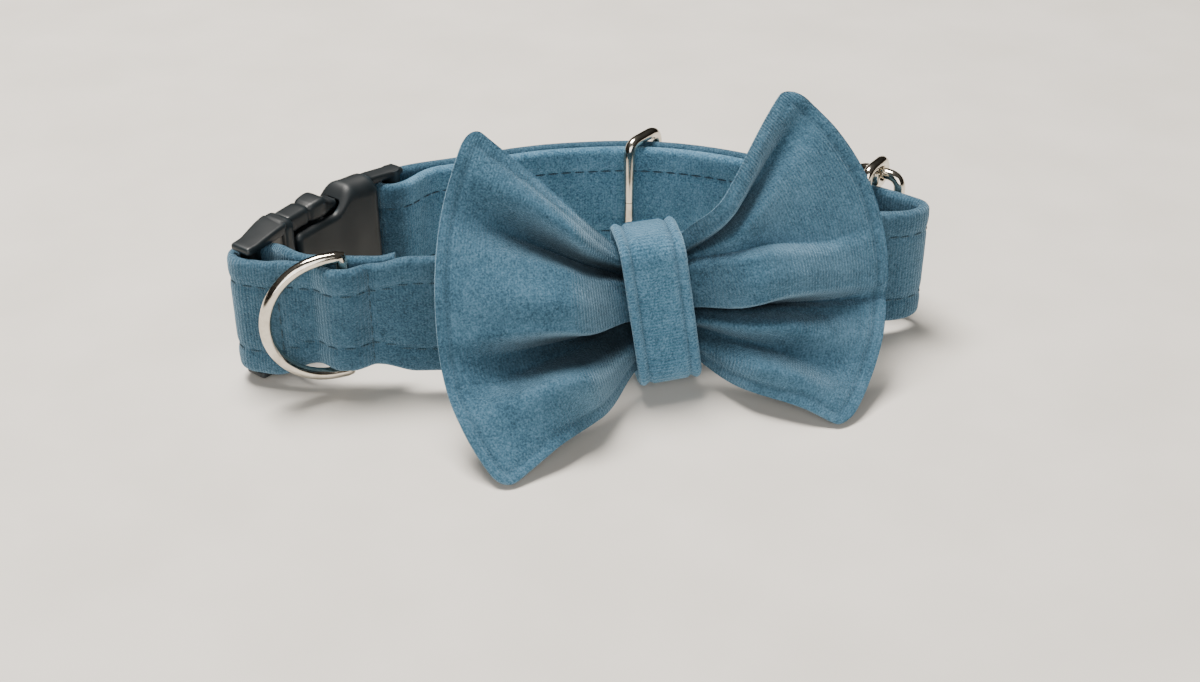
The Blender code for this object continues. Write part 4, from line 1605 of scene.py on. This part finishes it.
@dataclass
class BowTie:
    """The gathered bow and the band round its waist."""

    plan: CollarPlan
    width: float = 90.0 * MM
    top_reach: float = 37.0 * MM
    bottom_reach: float = 33.9 * MM
    thickness: float = 2.4 * MM
    turn: float = math.radians(6.0)
    lean: float = math.radians(27.0)
    flare: float = math.radians(34.0)
    height: float = 20.6 * MM
    waist_height: float = 26.2 * MM
    waist_drop: float = 2.0 * MM
    waist_round: float = 1.2 * MM
    waist_room: float = 1.25
    turn_share: float = 0.8
    tip_round: float = 3.8 * MM
    waist_pleat: float = 1.9 * MM
    belly_pleat: float = 5.8 * MM
    edge_pleat: float = 2.8 * MM
    belly_proud: float = 6.0 * MM
    edge_proud: float = 4.4 * MM
    belly_share: float = 0.34
    drift_share: float = 0.75
    lean_share: float = 0.29
    left_pulls: tuple[float, float] = (0.21, 0.21)
    right_pulls: tuple[float, float] = (0.30, 0.40)
    pull_power: float = 2.2
    seam_inset: float = 2.3 * MM
    seam_width: float = 0.5 * MM
    # Painted shade along the bow's pressed seam line.
    seam_shade: float = 0.28
    loft: float = 0.80
    pressed: float = 0.62
    rolled: float = 0.20
    rim_roll: float = 0.9 * MM
    # From here to gather_run: where the painted shade lies in the valleys and beside the knot.
    fold_reaches: tuple[float, ...] = (-0.3, 0.0, 0.25, 0.5)
    fold_start: float = 0.16
    fold_fade: float = 0.76
    fold_least: float = 0.05
    gather_shade: float = 0.34
    gather_run: float = 0.26
    knot_width: float = 12.9 * MM
    knot_thickness: float = 1.8 * MM
    knot_top_shift: float = -3.2 * MM
    knot_foot_shift: float = 0.6 * MM
    knot_bends: tuple[float, ...] = (3.6 * MM, 5.0 * MM, 2.2 * MM, 2.2 * MM, 2.2 * MM)
    knot_room: float = 1.4
    knot_proud: float = 0.2
    knot_seam: float = 2.2 * MM
    knot_seam_spread: float = 0.42 * MM
    knot_rim: float = 1.0 * MM
    knot_rim_spread: float = 0.7 * MM
    knot_rim_roll: float = 0.16 * MM
    knot_groove: float = 0.5 * MM
    # Painted light over the whole knot band.
    knot_painted_lighting: float = 0.5
    squares_along: int = 88
    squares_across: int = 156
    knot_step: float = 0.7 * MM
    knot_face_squares: int = 26
    knot_edge_squares: int = 5

    def __post_init__(self) -> None:
        """Works out the middle of the waist in front of the strap."""
        station = self.plan.station_at(self.plan.bow_row)
        thick = self.waist_pleat + self.thickness / 2.0 * self.waist_room
        turned = math.tan(self.turn) * self.waist_height / 2.0 * self.turn_share
        forward = self.plan.strap_thickness / 2.0 + self.plan.clearance + thick + turned
        self.yaw = math.atan2(station.tangent.y, station.tangent.x)
        self.middle = Vector((station.point.x, station.point.y - forward, self.height))
        self.station = station

    def fold_point(self, side: int, along: float, share: float) -> tuple[float, float]:
        """Place across the cloth, and how far it stands in front of the wing's own flat.

        Args:
            side: -1 for the left wing and 1 for the right one.
            along: 0 at the knot to 1 at the outer edge.
            share: 0 at the bottom fold to 1 at the top fold.

        Returns:
            The place from -1 to 1, and the distance forward.
        """
        folds = LEFT_FOLDS if side < 0 else RIGHT_FOLDS
        place = share * (len(folds) - 1)
        row = min(int(place), len(folds) - 2)
        low, high = folds[row], folds[row + 1]
        part, drift = place - row, smooth(along / self.drift_share)
        across = blend(blend(low.knot, low.outer, drift), blend(high.knot, high.outer, drift), part)
        eased = smooth(part)
        waist = self.waist_pleat * blend(low.waist, high.waist, eased) - self.waist_round * across ** 2
        belly = self.belly_proud + self.belly_pleat * blend(low.belly, high.belly, eased)
        edge = self.edge_proud + self.edge_pleat * blend(low.edge, high.edge, eased)
        if along < self.belly_share:
            return across, blend(waist, belly, smooth(along / self.belly_share))
        rest = smooth((along - self.belly_share) / (1.0 - self.belly_share))
        return across, blend(belly, edge, rest)

    def knot_shift(self, height_share: float) -> float:
        """How far the leaning knot band stands to the right at a share of its height."""
        return blend(self.knot_foot_shift, self.knot_top_shift, height_share)

    def outline(self, side: int, along: float, across: float) -> tuple[float, float]:
        """Flat place of the cloth seen from the front.

        Args:
            side: -1 for the left wing and 1 for the right one.
            along: 0 at the knot to 1 at the outer edge.
            across: -1 at the bottom edge to 1 at the top edge.

        Returns:
            Sideways from the middle, and up.
        """
        upper = across > 0.0
        pull = (self.left_pulls if side < 0 else self.right_pulls)[upper]
        reach = self.top_reach if upper else self.bottom_reach
        outer = self.width / 2.0 * (1.0 - pull * abs(across) ** self.pull_power)
        root = side * self.knot_width / 2.0 + self.knot_shift((across + 1.0) / 2.0)
        waist = self.waist_height / 2.0 * across - self.waist_drop
        return blend(root, side * outer, along), blend(waist, reach * across, along)

    def round_corner(self, along: float, across: float) -> tuple[float, float]:
        """Draws the grid's outer corners in, so that each tip of the bow is a quarter round.

        Args:
            along: 0 at the knot to 1 at the outer edge.
            across: -1 at the bottom edge to 1 at the top edge.

        Returns:
            The two places, drawn in.
        """
        length_share = self.tip_round / (self.width / 2.0)
        width_share = self.tip_round / (self.top_reach * 0.9)
        x = (along - (1.0 - length_share)) / length_share
        y = (abs(across) - (1.0 - width_share)) / width_share
        if x <= 0.0 or y <= 0.0:
            return along, across
        turned_x = x * math.sqrt(1.0 - y * y / 2.0)
        turned_y = y * math.sqrt(1.0 - x * x / 2.0)
        return (1.0 - length_share + turned_x * length_share,
                math.copysign(1.0 - width_share + turned_y * width_share, across))

    def lean_offset(self, sideways: float, rise: float) -> tuple[float, float, float]:
        """How the leaning cloth runs back as it rises.

        Args:
            sideways: Distance from the bow's middle.
            rise: Height along the cloth above the bow's middle.

        Returns:
            Back and up from the bow's middle, and the lean there.
        """
        share = smooth(abs(sideways) / (self.width * self.lean_share))
        back, up, lean = 0.0, 0.0, 0.0
        steps = 8
        for step in range(steps):
            here = rise * (step + 0.5) / steps
            flare = self.flare * max(0.0, -here) / self.bottom_reach
            lean = blend(self.turn, self.lean + flare, share)
            back += math.sin(lean) * rise / steps
            up += math.cos(lean) * rise / steps
        return back, up, lean

    def cloth_point(self, side: int, along: float, share: float) -> Vector:
        """Point on the middle surface of the cloth.

        Args:
            side: -1 for the left wing and 1 for the right one.
            along: 0 at the knot to 1 at the outer edge.
            share: 0 at the bottom fold to 1 at the top fold.

        Returns:
            The point.
        """
        across, depth = self.fold_point(side, along, share)
        sideways, rise = self.outline(side, *self.round_corner(along, across))
        back, up, lean = self.lean_offset(sideways, rise)
        x = sideways * math.cos(self.yaw)
        y = sideways * math.sin(self.yaw) + back - depth * math.cos(lean)
        return self.middle + Vector((x, y, up + depth * math.sin(lean)))

    def build(self, finishes: Finishes) -> None:
        """Builds the bow and its knot.

        Args:
            finishes: The collar's materials.
        """
        bow = self.build_wings(finishes)
        knot = self.build_knot(finishes)

    def build_wings(self, finishes: Finishes) -> bpy.types.Object:
        """One double sheet from the left edge to the right edge, with its turned seam.

        Args:
            finishes: The collar's materials.

        Returns:
            The bow's cloth.
        """
        knot_share = 0.5 * self.knot_width / self.width

        def place(u: float, v: float) -> Vector:
            """Point on the cloth: u from the left edge to the right edge, v from bottom to top.

            Args:
                u: Share along the piece.
                v: Share across or round it.

            Returns:
                The point.
            """
            side = -1 if u < 0.5 else 1
            along = max(0.0, (abs(u - 0.5) - knot_share) / (0.5 - knot_share))
            if along > 0.0:
                return self.cloth_point(side, along, v)
            share = (u - 0.5) / knot_share
            left = self.cloth_point(-1, 0.0, v)
            right = self.cloth_point(1, 0.0, v)
            return left.lerp(right, share / 2.0 + 0.5)

        bm = lay_grid(2 * self.squares_along, self.squares_across, place, self.width,
                      self.top_reach + self.bottom_reach)
        item = make_object(bm, "bow_wings", finishes.velvet, 60.0)
        self.paint_fold_shade(item)
        self.sew_edge(item)
        solid = item.modifiers.new("two_layers", "SOLIDIFY")
        solid.thickness = self.thickness
        solid.offset = 0.0
        solid.use_even_offset = True
        solid.thickness_clamp = 0.6
        solid.vertex_group = "loft"
        edge = item.modifiers.new("turned_edge", "BEVEL")
        edge.width = self.thickness * 0.36
        edge.segments = 4
        edge.limit_method = "ANGLE"
        edge.angle_limit = math.radians(60.0)
        settle(item)
        item.data.shade_smooth()
        return mount(item, Body.COLLAR, Slot.VELVET, "bow_body")

    def sew_edge(self, item: bpy.types.Object) -> None:
        """Marks how thick the cloth is: a full turned rim, then the pressed line of its seam, which also
        gets a line of painted shade.

        Args:
            item: The bow's cloth.
        """
        bm = bmesh.new()
        bm.from_mesh(item.data)
        rim = [vert.co.copy() for vert in bm.verts if vert.is_boundary]
        bm.free()
        tree = KDTree(len(rim))
        for index, point in enumerate(rim):
            tree.insert(point, index)
        tree.balance()
        insets = [tree.find(vert.co)[2] for vert in item.data.vertices]
        folds = [0.0] * len(insets)
        item.data.attributes["fold"].data.foreach_get("value", folds)
        # Painted shade along the pressed seam line.
        folds = [max(fold, self.seam_shade * bump(inset - self.seam_inset, self.seam_width))
                 for fold, inset in zip(folds, insets)]
        item.data.attributes["fold"].data.foreach_set("value", folds)
        group = item.vertex_groups.new(name="loft")
        for index, inset in enumerate(insets):
            pressed = self.pressed * bump(inset - self.seam_inset, 1.2 * self.seam_width)
            rolled = self.rolled * bump(inset - self.rim_roll, self.rim_roll)
            group.add([index], self.loft - pressed + rolled, "REPLACE")

    def paint_fold_shade(self, item: bpy.types.Object) -> None:
        """Writes how deep in a valley each point lies, as painted shade in the valleys and on the flanks
        beside the knot.

        Args:
            item: The bow's cloth.
        """
        def painted_shade(u: float, v: float) -> float:
            """How much painted shade lies at two shares.

            Args:
                u: Share along the piece.
                v: Share across or round it.

            Returns:
                0 for no painted shade to 1 for the darkest painted shade.
            """
            along = max(0.0, abs(u - 0.5) * 2.0 - self.knot_width / self.width)
            folds = LEFT_FOLDS if u < 0.5 else RIGHT_FOLDS
            depths = []
            for reach in self.fold_reaches:
                place = min(max(v * (len(folds) - 1) + reach, 0.0), len(folds) - 1.0001)
                row = int(place)
                depths.append(blend(folds[row].belly, folds[row + 1].belly, smooth(place - row)))
            near = 1.0 - smooth((along - self.fold_start) / self.fold_fade)
            # Painted shade on the flanks beside the knot.
            knot_shade = self.gather_shade * (1.0 - smooth(along / self.gather_run))
            return min(1.0, max(0.0, self.fold_least - min(depths)) * near + knot_shade)

        brush(item, "fold", painted_shade, self.width, self.top_reach + self.bottom_reach)

    def build_knot(self, finishes: Finishes) -> bpy.types.Object:
        """A band round the waist of the bow and the strap behind it, with a seam near each side.

        Args:
            finishes: The collar's materials.

        Returns:
            The knot's cloth.
        """
        plan = self.plan
        strap_back = self.station.point.y + plan.strap_thickness / 2.0 + plan.clearance
        strap_top = plan.centre_height(self.station.point) + plan.half_strap
        strap_bottom = strap_top - plan.strap_height
        half = self.knot_thickness / 2.0
        room = plan.clearance + half
        waist = self.waist_height / 2.0
        front = self.waist_pleat + self.thickness / 2.0 * self.knot_room + room
        lean_y = math.sin(self.turn) * waist
        centre = self.middle.z - self.waist_drop
        reach = math.cos(self.turn) * waist + self.thickness * self.knot_proud
        top, bottom = centre + reach, centre - reach
        foot = min(bottom, strap_bottom) - room
        corners = [
            Vector((self.middle.y + lean_y - front, top + room)),
            Vector((self.middle.y - lean_y - front, foot)),
            Vector((strap_back + half, foot)),
            Vector((strap_back + half, strap_top + room)),
            Vector((strap_back + half - plan.strap_thickness, top + room)),
        ]
        outline = round_corners(corners, self.knot_bends)
        loop = []
        for start, end in zip(outline, outline[1:] + outline[:1]):
            pieces = max(1, round((end - start).length / self.knot_step))
            loop += [start.lerp(end, step / pieces) for step in range(pieces)]
        count = len(loop)
        self.knot_length = sum((b - a).length for a, b in zip(loop, loop[1:] + loop[:1]))
        face, edge = self.knot_face_squares, self.knot_edge_squares
        width = self.knot_width / 2.0

        def seam(sideways: float, spread: float) -> float:
            """The seam near each side: 1 on it, falling away over a spread."""
            return bump(abs(sideways) - (width - self.knot_seam), spread)

        def place(u: float, v: float) -> Vector:
            """Point on the band.

            Args:
                u: Share along the piece.
                v: Share across or round it.

            Returns:
                The point.
            """
            row = round(u * count) % count
            tangent = (loop[(row + 1) % count] - loop[row - 1]).normalized()
            outward = Vector((tangent.y, -tangent.x))
            thick, sideways = band_section(v % 1.0, width, half, face, edge)
            rim = self.knot_rim_roll * bump(abs(sideways) - (width - self.knot_rim), self.knot_rim_spread)
            thick *= 1.0 - (self.knot_groove * seam(sideways, self.seam_width) - rim) / half
            point = loop[row] + outward * thick
            x = sideways + self.knot_shift((point.y - foot) / (top - foot))
            return Vector((self.middle.x + x * math.cos(self.yaw), point.x + x * math.sin(self.yaw),
                           point.y))

        def painted_shade(u: float, v: float) -> float:
            """How much painted shade lies in the seams' grooves."""
            sideways = band_section(v % 1.0, width, half, face, edge)[1]
            return self.gather_shade * seam(sideways, self.knot_seam_spread)

        girth = 2.0 * self.knot_width
        item = make_object(lay_grid(count, 2 * (face + edge), place, self.knot_length, girth),
                           "knot_band_cloth", finishes.velvet)
        # Painted light over the whole knot band.
        brush(item, "painted_lighting", lambda u, v: self.knot_painted_lighting)
        # Painted shade in the seam grooves of the knot band.
        brush(item, "fold", painted_shade, self.knot_length, girth)
        return mount(item, Body.COLLAR, Slot.VELVET, "knot_band")


@dataclass
class Studio:
    """Floor, soft light and the camera."""

    camera_place: tuple[float, float, float] = (-47.4 * MM, -280.5 * MM, 181.1 * MM)
    camera_tilt: float = math.radians(58.0)
    camera_turn: float = math.radians(-10.0)
    lens: float = 49.5
    floor_size: float = 3.0
    floor_drop: float = 0.05 * MM
    world_strength: float = 0.10

    def build(self) -> None:
        """Builds everything round the collar."""
        self.floor()
        self.light("key", (-0.16, 0.20, 0.95), 0.40, 24.0, "#fff9f2")
        self.light("room", (-0.16, -1.04, 0.47), 0.9, 11.3, "#fbf8f4")
        self.world()
        self.camera()

    def floor(self) -> None:
        """Lays the pale floor just under the collar."""
        bm = bmesh.new()
        bmesh.ops.create_grid(bm, x_segments=2, y_segments=2, size=self.floor_size / 2.0)
        bmesh.ops.translate(bm, verts=bm.verts, vec=(0.0, 0.0, CAD_BOX[0].z - self.floor_drop))
        floor = make_object(bm, "floor", PaperFloor().material())

    def light(self, name: str, place: tuple[float, float, float], size: float, power: float,
              colour: str) -> None:
        """Hangs a square soft light that faces the collar.

        Args:
            name: The light's name.
            place: Where it hangs, in metres.
            size: Its side, in metres.
            power: Its power in watts.
            colour: Its hex colour.
        """
        lamp = bpy.data.lights.new(name, "AREA")
        lamp.size = size
        lamp.energy = power
        lamp.color = linear(colour)[:3]
        item = bpy.data.objects.new(name, lamp)
        item.location = place
        item.rotation_euler = (-Vector(place)).to_track_quat("-Z", "Y").to_euler()
        bpy.context.scene.collection.objects.link(item)

    def world(self) -> None:
        """Fills the shadows from a room that is darker towards the horizon."""
        world = bpy.data.worlds.new("room")
        world.use_nodes = True
        tree = world.node_tree
        place = add_node(tree, "ShaderNodeTexCoord")
        height = add_node(tree, "ShaderNodeSeparateXYZ", links={0: place.outputs["Generated"]})
        colour = colour_ramp(tree, height.outputs["Z"],
                             ((0.02, "#6f6a64"), (0.35, "#8d8880"), (0.75, "#e4e2de")))
        ground = tree.nodes["Background"]
        tree.links.new(colour, ground.inputs["Color"])
        ground.inputs["Strength"].default_value = self.world_strength
        bpy.context.scene.world = world

    def camera(self) -> None:
        """Sets the camera at the photograph's angle."""
        data = bpy.data.cameras.new("camera")
        data.lens = self.lens
        data.clip_start = 0.01
        item = bpy.data.objects.new("camera", data)
        item.location = self.camera_place
        item.rotation_euler = (self.camera_tilt, 0.0, self.camera_turn)
        bpy.context.scene.collection.objects.link(item)
        bpy.context.scene.camera = item


def fitted_plan() -> CollarPlan:
    """The strap's plan, shifted so that its strap lies where the frame's strap lies.

    Returns:
        The plan.
    """
    plan = CollarPlan()
    strips = VelvetStrap(plan).strips()
    half = plan.strap_thickness / 2.0
    edges = [strip.point + strip.side * sign * half for strip in strips for sign in (-1.0, 1.0)]
    low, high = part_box("strap")
    for axis in (0, 1):
        own = (min(edge[axis] for edge in edges) + max(edge[axis] for edge in edges)) / 2.0
        plan.shift[axis] = (low[axis] + high[axis]) / 2.0 - own
    return plan


def main() -> None:
    """Builds the sub-assemblies in order and the studio round them."""
    logging.basicConfig(level=logging.INFO, format="%(name)s: %(message)s")
    finishes = Finishes.make()
    plan = fitted_plan()
    VelvetStrap(plan).build(finishes)
    LeashRing(plan).build(finishes)
    KeeperLoop(plan).build(finishes)
    WireSlide(plan).build(finishes)
    buckle = Buckle(plan)
    buckle.build_male(finishes)
    buckle.build_female(finishes)
    BowTie(plan).build(finishes)
    Studio().build()


if __name__ == "__main__":
    main()
